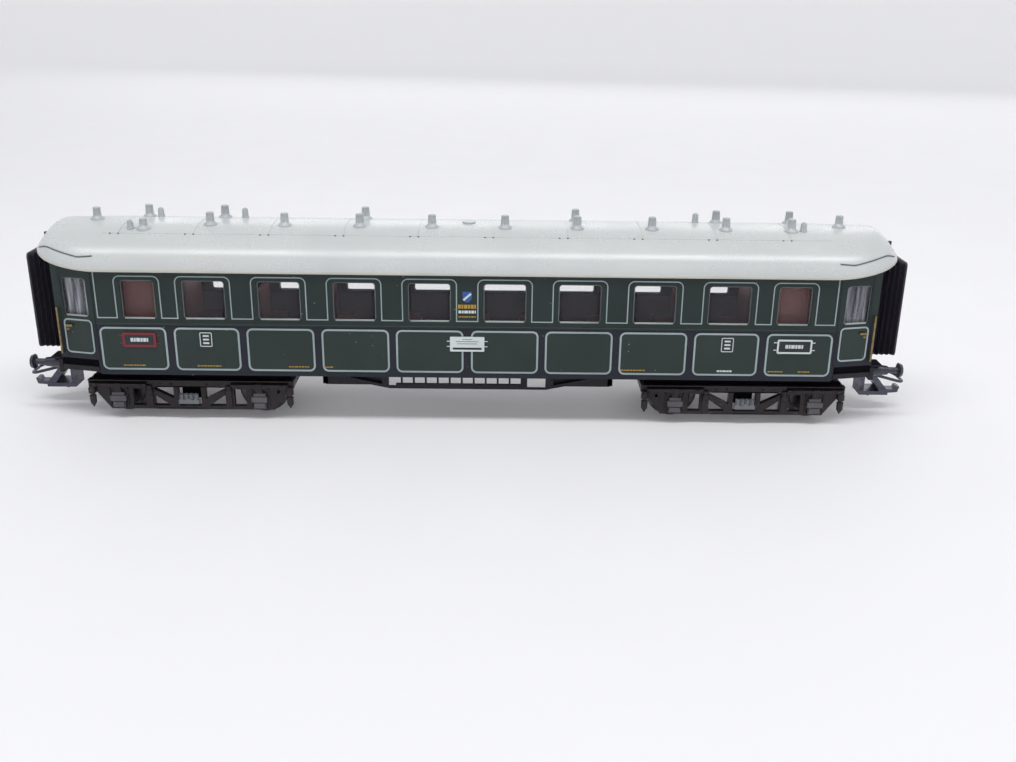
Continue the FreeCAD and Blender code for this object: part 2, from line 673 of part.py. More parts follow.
def make_glazing():
    """Clear strip behind each side, with a raised pane in every window."""
    face = "body_width / 2 - wall - pane_gap"
    for label, side in SIDES:
        width, low = ("window_width", "window_low") if side < 0 else ("corridor_window", "corridor_low")
        strip = block(f"strip_{label}", "2 * (porch_start - wall - pane_gap)", "pane_thick",
                      "pane_low", "pane_high", 0, f"{side} * ({face} - pane_thick / 2)")
        pieces = [strip]
        for end in (-1, 1):
            places = [(f"{end} * (window_first + {i} * window_step)", width, low) for i in range(4)]
            places.append((f"{end} * closet_place", "closet_window", "window_low"))
            for number, (middle, wide, foot) in enumerate(places):
                pieces.append(block(
                    f"pane_{label}_{end + 1}_{number}", f"{wide} - 2 * window_round", "pane_boss + pane_gap",
                    f"{foot} + pane_gap", "window_high - pane_gap", middle,
                    f"{side} * ({face} + (pane_boss + pane_gap) / 2)"))
        node(join(f"Glazing_{label}", pieces), f"glazing_{label}")
    panes = []
    start = "door_place - door_window / 2 - wall / 2"
    stop = "door_place + door_window / 2 + wall / 2"
    for label, end in ENDS:
        for side_label, side in SIDES:
            corners = []
            for x, behind in ((start, 0), (stop, 0), (stop, "pane_thick"), (start, "pane_thick")):
                inner_face = f"{porch_half(f'({x}) + wall')} - wall"
                corners.append((f"{end} * ({x})", f"{side} * ({inner_face} - 2 * pane_gap - {behind})"))
            panes.append(plate(f"door_pane_{label}_{side_label}", "XY_Plane", [corners],
                               "pane_high - pane_low", 0, 0, "pane_low"))
    node(join("DoorPanes", panes), "door_panes")


def make_interior():
    low = "floor_low + floor_thick"
    pieces = [block("cabin_floor", "2 * closet_out", "floor_width", "floor_low", low)]
    for i in range(-3, 4):
        place = f"{i} * window_step"
        pieces.append(block(f"seat_back_{i + 3}", "back_thick", "floor_width", low, "back_high", place))
        pieces.append(block(f"seat_{i + 3}", "back_thick + 2 * seat_deep", "floor_width", low, "seat_high",
                            place))
    for label, end in ENDS:
        inner = f"{end} * (closet_in + back_thick / 2)"
        outer = f"{end} * (closet_out - back_thick / 2)"
        pieces.append(block(f"closet_in_{label}", "back_thick", "floor_width", low, "closet_high", inner))
        pieces.append(block(f"closet_out_{label}", "back_thick", "closet_width", low, "closet_high", outer))
        pieces.append(block(f"end_seat_{label}", "seat_deep", "floor_width", low, "seat_high",
                            f"{end} * (closet_in - seat_deep / 2)"))
        for side_label, side in SIDES:
            pieces.append(block(
                f"closet_wall_{label}_{side_label}", "closet_out - closet_in", "back_thick", low,
                "closet_high", f"{end} * (closet_in + closet_out) / 2",
                f"{side} * (closet_width - back_thick) / 2"))
    node(join("Interior", pieces), "interior_unit")
    weight = block("Ballast", "ballast_length", "ballast_width", "deck_low + deck_thick",
                   "deck_low + deck_thick + ballast_thick")
    node(weight, "ballast_plate")
    doors = [block(f"end_door_{label}", "end_door_thick", "gangway_width - 2 * pane_gap",
                   "gangway_low + pane_gap", "gangway_high - pane_gap",
                   f"{end} * (body_length / 2 - wall / 2)") for label, end in ENDS]
    node(join("EndDoors", doors), "end_doors")


# ---------------------------------------------------------------- chassis

def make_underframe():
    top = "deck_low + deck_thick"
    inner = "body_width - 2 * wall - 2 * deck_gap"
    pieces = [
        block("deck", "2 * (porch_start - wall - deck_gap)", inner, "deck_low", top),
        block("deck_ends", "body_length - 2 * wall - 2 * deck_gap", "2 * slot_face - 4 * deck_gap",
              "deck_low", top),
    ]
    for label, side in SIDES:
        pieces.append(block(f"sole_bar_{label}", "2 * rib_out", "rib_thick", "rib_low", top, 0,
                            f"{side} * rib_place"))
    for label, end in ENDS:
        pieces.append(rod(f"bolster_boss_{label}", "bolster_boss", f"{top} - boss_low",
                          f"{end} * pivot_place", 0, "boss_low"))
    frame = join("Deck", pieces)
    holes = []
    for label, end in ENDS:
        holes.append(rod(f"screw_hole_{label}", "pivot_pin", f"{top} - boss_low",
                         f"{end} * pivot_place", 0, "boss_low"))
    node(cut("Underframe", frame, join("screw_holes", holes)), "underframe")
    screws = []
    for label, end in ENDS:
        place = f"{end} * pivot_place"
        screws.append(join(f"pivot_screw_{label}", [
            rod(f"screw_shank_{label}", "pivot_pin", f"{top} - frame_low + pane_gap", place, 0,
                "frame_low - pane_gap"),
            rod(f"screw_head_{label}", "pivot_head", "wall", place, 0, "frame_low - pane_gap - wall"),
        ]))
    node(join("PivotScrews", screws), "pivot_screws")


def make_ends():
    for label, end in ENDS:
        face = f"{end} * (body_length / 2 + beam_thick / 2)"
        pieces = [block(f"beam_{label}", "beam_thick", "beam_width", "beam_low", "beam_high", face)]
        for side_label, side in SIDES:
            pieces.append(block(
                f"lip_{label}_{side_label}", "lip_deep", "lip_width", "beam_high", "beam_high + lip_thick",
                f"{end} * (body_length / 2 + lip_deep / 2)", f"{side} * buffer_place"))
        node(join(f"Beam_{label}", pieces), f"buffer_beam_{label}")

        along = "+x" if end > 0 else "-x"
        root = "body_length / 2 + beam_thick"
        buffers = []
        for side_label, side in SIDES:
            name = f"{label}_{side_label}"
            across = f"{side} * buffer_place"
            buffers.append(join(f"buffer_{name}", [
                cone(f"sleeve_{name}", "sleeve_base", "sleeve_nose", "sleeve_long", f"{end} * ({root})",
                     across, "buffer_high", along),
                rod(f"plunger_{name}", "plunger", f"buffer_tip - head_thick - ({root})",
                    f"{end} * ({root})", across, "buffer_high", along),
                cone(f"head_{name}", "buffer_head", "buffer_head - 0.3", "head_thick",
                     f"{end} * (buffer_tip - head_thick)", across, "buffer_high", along),
            ]))
        node(join(f"Buffers_{label}", buffers), f"buffers_{label}")


def make_bellows():
    """Pleated gangway of four walls, each of wide and narrow folds in turn, round an open passage."""
    folds = 7
    deep = f"bellows_deep / {folds}"
    for label, end in ENDS:
        walls = {"foot": [], "head": [], "near": [], "far": []}
        for i in range(folds):
            shrink = "0" if i % 2 == 0 else "pleat_deep"
            x = f"{end} * (body_length / 2 + {deep} * {i + 0.5})"
            wide = f"bellows_width - 2 * {shrink}"
            walls["foot"].append(block(f"foot_{label}_{i}", deep, wide, f"bellows_low + {shrink}",
                                       "gangway_low", x))
            walls["head"].append(block(f"head_{label}_{i}", deep, wide, "gangway_high",
                                       f"bellows_high - {shrink}", x))
            thick = f"(bellows_width - gangway_width) / 2 - {shrink}"
            for side_label, side in SIDES:
                y = f"{side} * (gangway_width / 2 + ({thick}) / 2)"
                walls[side_label].append(block(f"{side_label}_{label}_{i}", deep, thick, "gangway_low",
                                               "gangway_high", x, y))
        ring = doc.addObject("Part::Compound", f"Bellows_{label}")
        ring.Links = [join(f"folds_{label}_{wall}", pieces) for wall, pieces in walls.items()]
        node(ring, f"bellows_{label}")


def make_steps():
    """Step boards that follow the taper of the entrances, each with the plate behind its recess."""
    boards = []
    start = "slot_start + pane_gap"
    back = "slot_face + pane_gap"
    for label, end in ENDS:
        for side_label, side in SIDES:
            name = f"{label}_{side_label}"
            corners = [(f"{end} * ({start})", f"{side} * ({back})")]
            for x in ("board_end", start):
                corners.append((f"{end} * ({x})", f"{side} * ({porch_half(x)} + board_proud)"))
            corners.insert(1, (f"{end} * board_end", f"{side} * ({back})"))
            boards.append(join(f"board_{name}", [
                plate(f"tread_{name}", "XY_Plane", [corners], "board_thick", 0, 0, "board_low"),
                block(f"riser_{name}", f"board_end - ({start})", f"board_back - ({back})", "board_low",
                      "slot_top - pane_gap", f"{end} * (board_end + {start}) / 2",
                      f"{side} * (board_back + {back}) / 2"),
            ]))
    node(join("StepBoards", boards), "step_boards")


def make_truss():
    """Truss rod with the barred rack in its middle, cut from one plate on each side."""
    bar = "truss_bar"
    roof = "deck_low"
    outline = [("-truss_end", roof), ("-truss_end", f"{roof} - 1.5 * {bar}"), ("-truss_foot", "truss_low"),
               ("truss_foot", "truss_low"), ("truss_end", f"{roof} - 1.5 * {bar}"), ("truss_end", roof)]
    upper = f"{roof} - {bar}"
    lower = f"truss_low + {bar}"
    sill_line = "truss_low + rack_beam"
    notch_left = "-rack_start"
    notch_right = f"{notch_left} + notch_wide"
    notch_low = f"{sill_line} - notch_deep"
    first_right = "rack_step - rack_start"
    loops = [outline, rectangle("gap_start", "gap_end", f"truss_low + {bar} / 2", upper),
             [(notch_left, upper), (notch_left, notch_low), (notch_right, notch_low),
              (notch_right, sill_line), (first_right, sill_line), (first_right, upper)]]
    for i in range(1, int(size("rack_count"))):
        left = f"{i} * rack_step - rack_start + rack_bar"
        right = f"{i + 1} * rack_step - rack_start"
        loops.append(rectangle(left, right, sill_line, upper))
    post = "truss_foot + truss_post"
    tip = f"truss_end - 3 * {bar}"
    slope = f"{lower} + ({upper} - ({lower})) * truss_post / ({tip} - truss_foot)"
    for label, end in ENDS:
        loops.append([(f"{end} * ({post})", upper), (f"{end} * ({post})", slope),
                      (f"{end} * ({tip})", upper)])
    for label, side in SIDES:
        place = "-truss_place + truss_thick" if side < 0 else "truss_place"
        node(plate(f"Truss_{label}", "XZ_Plane", loops, "truss_thick", 0, place), f"truss_{label}")
    tanks = []
    for label, end in ENDS:
        for side_label, side in SIDES:
            across = f"{side} * (truss_place - truss_thick - tank_gap - tank_deep / 2)"
            tanks.append(block(f"tank_{label}_{side_label}", "tank_end - tank_start", "tank_deep", "tank_low",
                               "rib_low", f"{end} * (tank_start + tank_end) / 2", across))
    node(join("EquipmentBoxes", tanks), "equipment_boxes")


def make_brass_fittings():
    """Entrance handrails and door handles, trimmed to the wall they stand on."""
    wall_solid = doc.addObject("PartDesign::Body", "WallTool")
    plan = draw(wall_solid, "wall_plan", "XY_Plane", [shell_outline("0")], away="sill")
    pad(wall_solid, "wall_block", plan, "porch_top - sill")
    rails = []
    handles = []
    rail_out = f"{porch_half('rail_place')} + rail_stand"
    grip_out = f"{porch_half('handle_place')} + rail_stand"
    for label, end in ENDS:
        for side_label, side in SIDES:
            name = f"{label}_{side_label}"
            x = f"{end} * rail_place"
            pieces = [rod(f"rail_{name}", "rail_radius", "rail_high - rail_low", x, f"{side} * ({rail_out})",
                          "rail_low")]
            for number, height in enumerate(("rail_low + 2 * rail_radius", "rail_high - 2 * rail_radius")):
                start = f"-({rail_out})" if side < 0 else f"{rail_out} - rail_stand - wall"
                pieces.append(rod(f"rail_pin_{name}_{number}", "rail_pin", "rail_stand + wall", x, start,
                                  height, "+y"))
            rails.append(join(f"handrail_{name}", pieces))
            low = "handle_high - rail_radius"
            high = "handle_high + rail_radius"
            grip = block(f"grip_{name}", "6 * rail_radius", "1.4 * rail_radius", low, high,
                         f"{end} * (handle_place - 2 * rail_radius)", f"{side} * ({grip_out})")
            stem = block(f"stem_{name}", "2 * rail_radius", "rail_stand + wall", low, high,
                         f"{end} * handle_place", f"{side} * ({grip_out} - (rail_stand + wall) / 2)")
            handles.append(join(f"handle_{name}", [grip, stem]))
    node(cut("Handrails", join("handrails_all", rails), wall_solid), "handrails")
    node(cut("DoorHandles", join("handles_all", handles), wall_solid), "door_handles")


# ---------------------------------------------------------------- bogies

def make_bogie(label, end):
    middle = f"{end} * pivot_place"
    frame_top = "frame_low + frame_thick"
    half_axles = "axle_space / 2"
    reach = {end: "side_outer", -end: "side_inner"}
    foot = {end: "foot_outer", -end: "foot_inner"}

    pieces = [
        block(f"bolster_{label}", "frame_bolster", "2 * side_in", "frame_low", frame_top, middle),
        block(f"spine_{label}", "side_outer + side_inner", "frame_spine", "frame_low", frame_top,
              f"{middle} + {end} * (side_outer - side_inner) / 2"),
    ]
    for way in (-1, 1):
        place = f"{middle} + {way} * ({reach[way]} - frame_beam / 2)"
        pieces.append(block(f"end_beam_{label}_{way + 1}", "frame_beam", "2 * side_in", "frame_low",
                            frame_top, place))
    frame = join(f"BogieFrame_{label}", pieces)
    hole = rod(f"pivot_bore_{label}", "pivot_hole", "frame_thick", middle, 0, "frame_low")
    node(cut(f"BogieCentre_{label}", frame, hole), f"bogie_frame_{label}")

    knee = "side_beam - side_thick / 4"
    outline = []
    for way in (-1, 1):
        tip = f"{way} * {reach[way]}"
        edge = [(tip, "side_top"), (tip, "side_beam"), (f"{tip} - {way} * side_lip", knee),
                (f"{way} * {foot[way]}", "side_low")]
        outline += edge[::-way]
    loops = [outline, rectangle("-cell", "cell", "side_bar", "side_beam")]
    for way in (-1, 1):
        loops.append(rectangle(f"{way} * post_out", f"{way} * guard_in", "side_bar", "guard_top"))
        edge = f"{way} * (cell + cell_post)"
        post = f"{way} * post_in"
        strut = f"{way} * strut_in"
        loops.append([(edge, "side_beam"), (post, "side_beam"), (post, "side_beam - strut_bar / 2"),
                      (edge, "side_bar + 2 * strut_bar")])
        loops.append([(strut, "side_bar"), (post, "side_bar"), (post, "side_beam - 2 * strut_bar")])
    holes = [(f"{way} * {half_axles}", "axle_high", "journal_hole") for way in (-1, 1)]
    holes.append((f"{-end} * side_hole_place", "side_hole_high", "side_hole"))
    for side_label, side in SIDES:
        place = "-side_in" if side < 0 else "side_in + side_thick"
        side_frame = plate(f"BogieSide_{label}_{side_label}", "XZ_Plane", loops, "side_thick", middle,
                           place, 0, holes)
        node(side_frame, f"bogie_side_{side_label}_{label}")

    boxes, leaves, coils, hangers = [], [], [], []
    face = "side_in + side_thick"
    for side_label, side in SIDES:
        for way in (-1, 1):
            name = f"{label}_{side_label}_{way + 1}"
            x = f"{middle} + {way} * {half_axles}"
            boxes.append(join(f"axlebox_{name}", [
                block(f"box_{name}", "box_width", "box_deep", "box_low", "box_high", x,
                      f"{side} * ({face} + box_deep / 2)"),
                block(f"lid_{name}", "lid_width", "1.5 * box_deep", "box_high - 2.3", "box_high - 0.9", x,
                      f"{side} * ({face} + 0.75 * box_deep)"),
                block(f"cover_{name}", "0.9 * box_width", "1.4 * box_deep", "box_low + 0.4",
                      "box_high - 2.6", x, f"{side} * ({face} + 0.7 * box_deep)"),
            ]))
            bow = [("-leaf_reach", "leaf_top"), ("-leaf_reach", "leaf_top - 0.5"),
                   ("-leaf_reach / 2", "leaf_low + 0.5"), ("-buckle", "leaf_low + 0.1"),
                   ("-buckle", "box_high + 0.1"), ("buckle", "box_high + 0.1"), ("buckle", "leaf_low + 0.1"),
                   ("leaf_reach / 2", "leaf_low + 0.5"), ("leaf_reach", "leaf_top - 0.5"),
                   ("leaf_reach", "leaf_top")]
            spring_y = f"-({face})" if side < 0 else f"{face} + leaf_deep"
            leaves.append(plate(f"leaf_{name}", "XZ_Plane", [bow], "leaf_deep", x, spring_y))
            outer = f"{way} * {reach[way]}"
            inner = f"{outer} - {way} * hanger_width"
            tip = f"{outer} - {way} * hanger_width / 3"
            shape = [(inner, "side_beam + 0.5"), (outer, "side_beam + 0.5"), (outer, "side_beam - 2.6"),
                     (tip, "hanger_low"), (f"{tip} - {way} * 0.8", "hanger_low"), (inner, "side_beam - 2.6")]
            hangers.append(plate(f"hanger_{name}", "XZ_Plane", [shape], "leaf_deep", middle, spring_y))
        name = f"{label}_{side_label}"
        spring_face = f"{side} * ({face} + coil)"
        cluster = [block(f"cradle_{name}", "2 * cradle_half", "2 * coil", "cradle_low", "cradle_top", middle,
                         spring_face)]
        for k in (-1, 0, 1):
            cluster.append(rod(f"coil_{name}_{k + 1}", "coil", "coil_high - cradle_low",
                               f"{middle} + {k} * coil_step", spring_face, "cradle_low"))
        coils.append(join(f"springs_{name}", cluster))
    node(join(f"Axleboxes_{label}", boxes), f"axleboxes_{label}")
    node(join(f"LeafSprings_{label}", leaves), f"leaf_springs_{label}")
    node(join(f"CoilSprings_{label}", coils), f"coil_springs_{label}")
    node(join(f"Hangers_{label}", hangers), f"brake_hangers_{label}")


def make_wheelset(number, place):
    """Axle with two flanged wheels pressed on to it."""
    thick = rod(f"shaft_{number}", "axle", "2 * axle_end", place, "-axle_end", "axle_high", "+y")
    thin = rod(f"journals_{number}", "journal", "2 * journal_end", place, "-journal_end", "axle_high", "+y")
    node(join(f"Axle_{number}", [thick, thin]), f"axle_{number}")
    for label, side in SIDES:
        profile = [
            ("0", "axle"), ("0", "flange - 0.3"), ("0.3", "flange"), ("0.75", "flange - 0.2"),
            ("0.95", "tread + 0.1"), ("tyre_width", "tread - 0.05"), ("tyre_width", "tread - 0.9"),
            ("tyre_width - 0.7", "tread - 1.1"), ("tyre_width - 0.7", "2.2 * axle"),
            ("tyre_width", "2 * axle"), ("tyre_width", "axle"),
        ]
        if side < 0:
            profile = [("0" if y == "0" else f"-({y})", r) for y, r in profile]
        wheel = turned(f"Wheel_{label}_{number}", profile, place, f"{side} * back_to_back / 2", "axle_high")
        node(wheel, f"wheel_{label}_{number}")


# ---------------------------------------------------------------- couplers

def make_coupler(label, end):
    """Swinging coupler: eye, shank, open cage with a hook, and the wire loop hinged on the cage."""
    def out(text):
        return f"{end} * ({text})"

    pin = join(f"hitch_{label}", [
        rod(f"hitch_pin_{label}", "hitch_pin", "deck_low - shank_low + 0.6", out("hitch_place"), 0,
            "shank_low - 0.6"),
        rod(f"hitch_head_{label}", "hitch_eye - 0.2", 0.5, out("hitch_place"), 0, "shank_low - 0.6"),
    ])
    cage_top = "shank_high"
    outline = [(out("cage_start"), cage_top), (out("cage_brow"), cage_top),
               (out("cage_tip"), "cage_low + cage_bar"), (out("cage_tip"), "cage_low"),
               (out("cage_start"), "cage_low")]
    window = [(out("cage_start + cage_bar"), "cage_low + cage_bar"),
              (out("cage_tip - 2.2 * cage_bar"), "cage_low + cage_bar"),
              (out("cage_brow - 0.4 * cage_bar"), "shank_low"),
              (out("cage_start + cage_bar"), "shank_low")]
    cage = plate(f"cage_{label}", "XZ_Plane", [outline, window], "cage_wide", 0, "cage_wide / 2")
    beak = [(out("cage_tip - cage_bar"), "cage_low"), (out("hook_tip - 0.4"), "cage_low + 0.3"),
            (out("hook_tip"), "cage_low + 1.9"), (out("hook_tip - 0.8"), "cage_low + 1.9"),
            (out("hook_tip - 1.2"), "cage_low + cage_bar"),
            (out("cage_tip - cage_bar"), "cage_low + cage_bar")]
    hook = plate(f"hook_{label}", "XZ_Plane", [beak], "hook_wide", 0, "hook_wide / 2")
    shank = block(f"shank_{label}", "cage_start - hitch_place + cage_bar", "shank_width", "shank_low",
                  "shank_high", out("(cage_start + hitch_place + cage_bar) / 2"))
    eye = rod(f"eye_{label}", "hitch_eye", "shank_high - shank_low", out("hitch_place"), 0, "shank_low")
    trip = rod(f"trip_{label}", "trip_pin", "cage_low + cage_bar / 2 - trip_low", out("trip_place"), 0,
               "trip_low")
    solid = join(f"coupler_body_{label}", [cage, hook, shank, eye, trip])
    bores = join(f"coupler_bores_{label}", [
        rod(f"eye_bore_{label}", "hitch_hole", "shank_high - shank_low", out("hitch_place"), 0, "shank_low"),
        rod(f"loop_bore_{label}", "loop_hole", "2 * cage_wide", out("loop_place"), "-cage_wide", "loop_high",
            "+y"),
    ])
    node(cut(f"Coupler_{label}", solid, bores), f"coupler_head_{label}")
    make_loop(label, end)
    return pin


def make_loop(label, end):
    """Wire bail: in through the cage, out along both arms and round the tip."""
    hinge = Vector(end * size("loop_place"), 0, size("loop_high"))
    tip = Vector(end * size("loop_tip"), 0, size("loop_tip_high"))
    out = size("loop_out")
    corner = size("loop_round")
    bend = 2 * size("loop_pin")
    run = (tip - hinge).normalize()
    across = Vector(0, 1, 0)

    def arc(start, through, stop):
        return Part.Arc(start, through, stop).toShape()

    def line(start, stop):
        return Part.LineSegment(start, stop).toShape()

    def rounded(corner_point, first, second, radius):
        """Start, middle and end of the arc that turns from first to second at a right angle."""
        start = corner_point - first * radius
        stop = corner_point + second * radius
        centre = start + second * radius
        middle = centre + (corner_point - centre).normalize() * radius
        return start, middle, stop

    near_foot = rounded(hinge - across * out, -across, run, bend)
    far_foot = rounded(hinge + across * out, -run, -across, bend)
    near_nose = rounded(tip - across * out, run, across, corner)
    far_nose = rounded(tip + across * out, across, -run, corner)
    edges = [
        line(hinge, near_foot[0]), arc(*near_foot), line(near_foot[2], near_nose[0]), arc(*near_nose),
        line(near_nose[2], far_nose[0]), arc(*far_nose), line(far_nose[2], far_foot[0]), arc(*far_foot),
    ]
    path = Part.Wire(edges)
    circle = Part.Circle(hinge, across, size("loop_pin")).toShape()
    tube = path.makePipeShell([Part.Wire([circle])], True, True)
    stub = Part.makeCylinder(size("loop_pin"), (far_foot[2] - hinge).Length, hinge, across)
    bail = doc.addObject("Part::Feature", f"Loop_{label}")
    bail.Shape = tube.fuse(stub).removeSplitter()
    bail.Placement = Placement()
    node(bail, f"coupler_loop_{label}")


# ---------------------------------------------------------------- the coach

shell = make_shell()
roof_core, roof_skin = make_roof()
node(cut("Walls", shell, roof_skin), "body_shell")
make_roof_trim(roof_core)
make_glazing()
make_interior()
make_underframe()
make_ends()
make_bellows()
make_steps()
make_truss()
make_brass_fittings()
for bogie_label, bogie_end in ENDS:
    make_bogie(bogie_label, bogie_end)
wheelsets = [(-1, -1), (-1, 1), (1, -1), (1, 1)]
for index, (bogie_end, way) in enumerate(wheelsets, start=1):
    make_wheelset(index, f"{bogie_end} * pivot_place + {way} * axle_space / 2")
hitch_pins = [make_coupler(coupler_label, coupler_end) for coupler_label, coupler_end in ENDS]
node(join("HitchPins", hitch_pins), "coupler_pins")

doc.recompute()
for item in doc.Objects:
    if "Invalid" in item.State or "Error" in item.State:
        raise RuntimeError(f"{item.Name} failed: {item.State}")
for item in nodes:
    shape = item.Shape
    if shape.isNull() or not shape.isValid() or not shape.Solids:
        raise RuntimeError(f"{item.Label} has no valid solid")

os.makedirs("parts", exist_ok=True)
for item in nodes:
    item.Shape.exportStep(os.path.join("parts", item.Label + ".step"))
print(len(nodes), "parts written")
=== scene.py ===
"""Looks of the model passenger coach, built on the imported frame. Shapes are worked out in millimetres."""
import json
import math
import bmesh
import bpy
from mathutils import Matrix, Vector


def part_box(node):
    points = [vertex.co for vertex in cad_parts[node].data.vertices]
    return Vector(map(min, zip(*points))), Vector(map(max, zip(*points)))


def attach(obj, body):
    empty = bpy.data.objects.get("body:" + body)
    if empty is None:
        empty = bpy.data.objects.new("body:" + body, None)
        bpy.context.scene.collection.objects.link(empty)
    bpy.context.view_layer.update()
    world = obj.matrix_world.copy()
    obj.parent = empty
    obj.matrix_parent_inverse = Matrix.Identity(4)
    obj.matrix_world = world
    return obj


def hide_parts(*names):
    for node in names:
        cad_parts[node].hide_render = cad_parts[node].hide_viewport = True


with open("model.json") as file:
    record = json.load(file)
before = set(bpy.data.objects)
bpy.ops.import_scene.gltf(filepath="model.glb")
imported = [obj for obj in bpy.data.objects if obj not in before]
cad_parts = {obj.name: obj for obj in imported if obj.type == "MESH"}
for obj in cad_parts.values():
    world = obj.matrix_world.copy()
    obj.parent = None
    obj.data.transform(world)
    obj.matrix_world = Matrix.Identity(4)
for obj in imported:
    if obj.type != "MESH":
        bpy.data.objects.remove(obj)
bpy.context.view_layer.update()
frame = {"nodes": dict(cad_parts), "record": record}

# ---------------------------------------------------------------- sizes, in millimetres

MM = 0.001
SIDES = (("near", -1), ("far", 1))
ENDS = (("left", -1), ("right", 1))


def box_mm(node):
    """Lowest and highest corner of a CAD node, in millimetres."""
    low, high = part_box(node)
    return [c / MM for c in low], [c / MM for c in high]


SHELL_HIGH = box_mm("body_shell")[1]
ROOF_LOW, ROOF_HIGH = box_mm("roof")

BODY_END = SHELL_HIGH[0]
WALL_FACE = SHELL_HIGH[1]
PORCH_START = 94.3
PORCH_FACE = 16.0
PORCH_END_FACE = 13.5

WINDOW_FIRST = 9.55
WINDOW_STEP = 19.0
WINDOW_LOW = 28.3
WINDOW_FOOT = {"near": WINDOW_LOW, "far": 27.5}
WINDOW_HIGH = 38.5
WINDOW_WIDTH = {"near": 10.9, "far": 12.9}
CLOSET_PLACE = 83.1
CLOSET_WIDTH = 8.6
DOOR_PLACE = 99.7
DOOR_WIDTH = 6.8

PANELS = ((1.2, 18.0), (20.2, 37.0), (39.3, 56.1), (58.4, 74.6), (77.0, 93.5))
PANEL_LOW = 14.9
PANEL_HIGH = 25.9
PANEL_CORNER = 1.3
DOOR_PANEL = (95.9, 103.4, 18.6, 27.4)
LINE_WIDE = 0.46
LINE_THIN = 0.27
PAINT_THICK = 0.05
MEANDER_LOW = 28.6
MEANDER_HIGH = 39.5
MEANDER_END = 93.7
BELT_LOW = 26.5
BELT_HIGH = 27.3

EAVES = ROOF_LOW[2]
ROOF_TOP = ROOF_HIGH[2]
ROOF_HALF_WIDTH = ROOF_HIGH[1]
ROOF_TIP = 112.4
RIM_START = 92.5
RIM_RISE = 2.5
HOOD_START = 106.5
HOOD_LIP = 43.4
SEAM_OUT = 10.3
SEAM_FIRST = 6.4
SEAM_STEP = 18.95

# ---------------------------------------------------------------- building shapes


class Shape:
    """Points in millimetres and faces of one piece."""

    def __init__(self):
        self.points = []
        self.faces = []

    def add(self, points, faces):
        start = len(self.points)
        self.points += [tuple(p) for p in points]
        self.faces += [[start + i for i in face] for face in faces]

    def loft(self, rings, caps=True, round_trip=False):
        """Skin over rings of equal length, with flat caps, or closed on itself."""
        count = len(rings[0])
        faces = []
        pairs = len(rings) if round_trip else len(rings) - 1
        for r in range(pairs):
            here = r * count
            there = (r + 1) % len(rings) * count
            for i in range(count):
                j = (i + 1) % count
                faces.append([here + i, here + j, there + j, there + i])
        if caps and not round_trip:
            faces.append(list(range(count)))
            faces.append([(len(rings) - 1) * count + i for i in range(count)])
        self.add([p for ring in rings for p in ring], faces)

    def slab(self, low, high):
        """Six-sided block between two corners."""
        (x0, y0, z0), (x1, y1, z1) = low, high
        rings = [[(x0, y0, z), (x1, y0, z), (x1, y1, z), (x0, y1, z)] for z in (z0, z1)]
        self.loft(rings)

    def tube(self, path, radius, sides=10, round_trip=False):
        """Round bar along a path."""
        points = [Vector(p) for p in path]
        rings = []
        for i, point in enumerate(points):
            before = points[i - 1] if i > 0 or round_trip else point
            after = points[(i + 1) % len(points)] if i < len(points) - 1 or round_trip else point
            along = (after - before).normalized()
            up = Vector((0, 0, 1)) if abs(along.z) < 0.9 else Vector((1, 0, 0))
            across = along.cross(up).normalized()
            other = across.cross(along)
            rings.append([point + radius * (math.cos(a) * across + math.sin(a) * other)
                          for a in angles(sides)])
        self.loft(rings, round_trip=round_trip)

    def turned(self, centre, profile, sides=24, flutes=0, depth=0.0):
        """Turned on a vertical axis; profile is (radius, height, fluted or not)."""
        rings = []
        for radius, height, fluted in profile:
            ring = []
            for a in angles(sides):
                r = radius * (1 + depth * math.cos(flutes * a)) if fluted else radius
                ring.append((centre[0] + r * math.cos(a), centre[1] + r * math.sin(a), height))
            rings.append(ring)
        self.loft(rings)

    def piece(self, name, slot, body="coach", finish=None, soft=0.0):
        """The finished object: closed, smooth where it is round, riding on its body."""
        mesh = bpy.data.meshes.new(name)
        mesh.from_pydata([tuple(c * MM for c in p) for p in self.points], [], self.faces)
        build = bmesh.new()
        build.from_mesh(mesh)
        bmesh.ops.remove_doubles(build, verts=build.verts, dist=0.002 * MM)
        bmesh.ops.recalc_face_normals(build, faces=build.faces)
        build.to_mesh(mesh)
        build.free()
        item = bpy.data.objects.new(name, mesh)
        bpy.context.scene.collection.objects.link(item)
        mesh.materials.append(finish or FINISH[slot])
        for face in mesh.polygons:
            face.use_smooth = True
        mesh.set_sharp_from_angle(angle=math.radians(38))
        if soft:
            edge = item.modifiers.new("edge", "BEVEL")
            edge.width = soft * MM
            edge.segments = 2
            edge.limit_method = "ANGLE"
        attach(item, body)
        return item


def angles(count):
    return [2 * math.pi * i / count for i in range(count)]


def spread(start, end, count):
    return [start + (end - start) * i / (count - 1) for i in range(count)]


def wall_face(x):
    """How far out the side wall's face is at x."""
    if abs(x) <= PORCH_START:
        return WALL_FACE
    share = (abs(x) - PORCH_START) / (BODY_END - PORCH_START)
    return PORCH_FACE + share * (PORCH_END_FACE - PORCH_FACE)


def on_wall(side, x, z, proud):
    return (x, side * (wall_face(x) + proud), z)


def rounded(x0, x1, z0, z1, radius, steps=6):
    """Outline of a rectangle with round corners, as (x, z) points."""
    outline = []
    corners = ((x1 - radius, z1 - radius, 0), (x0 + radius, z1 - radius, 90),
               (x0 + radius, z0 + radius, 180), (x1 - radius, z0 + radius, 270))
    for x, z, start in corners:
        for a in spread(start, start + 90, steps):
            turn = math.radians(a)
            outline.append((x + radius * math.cos(turn), z + radius * math.sin(turn)))
    return outline


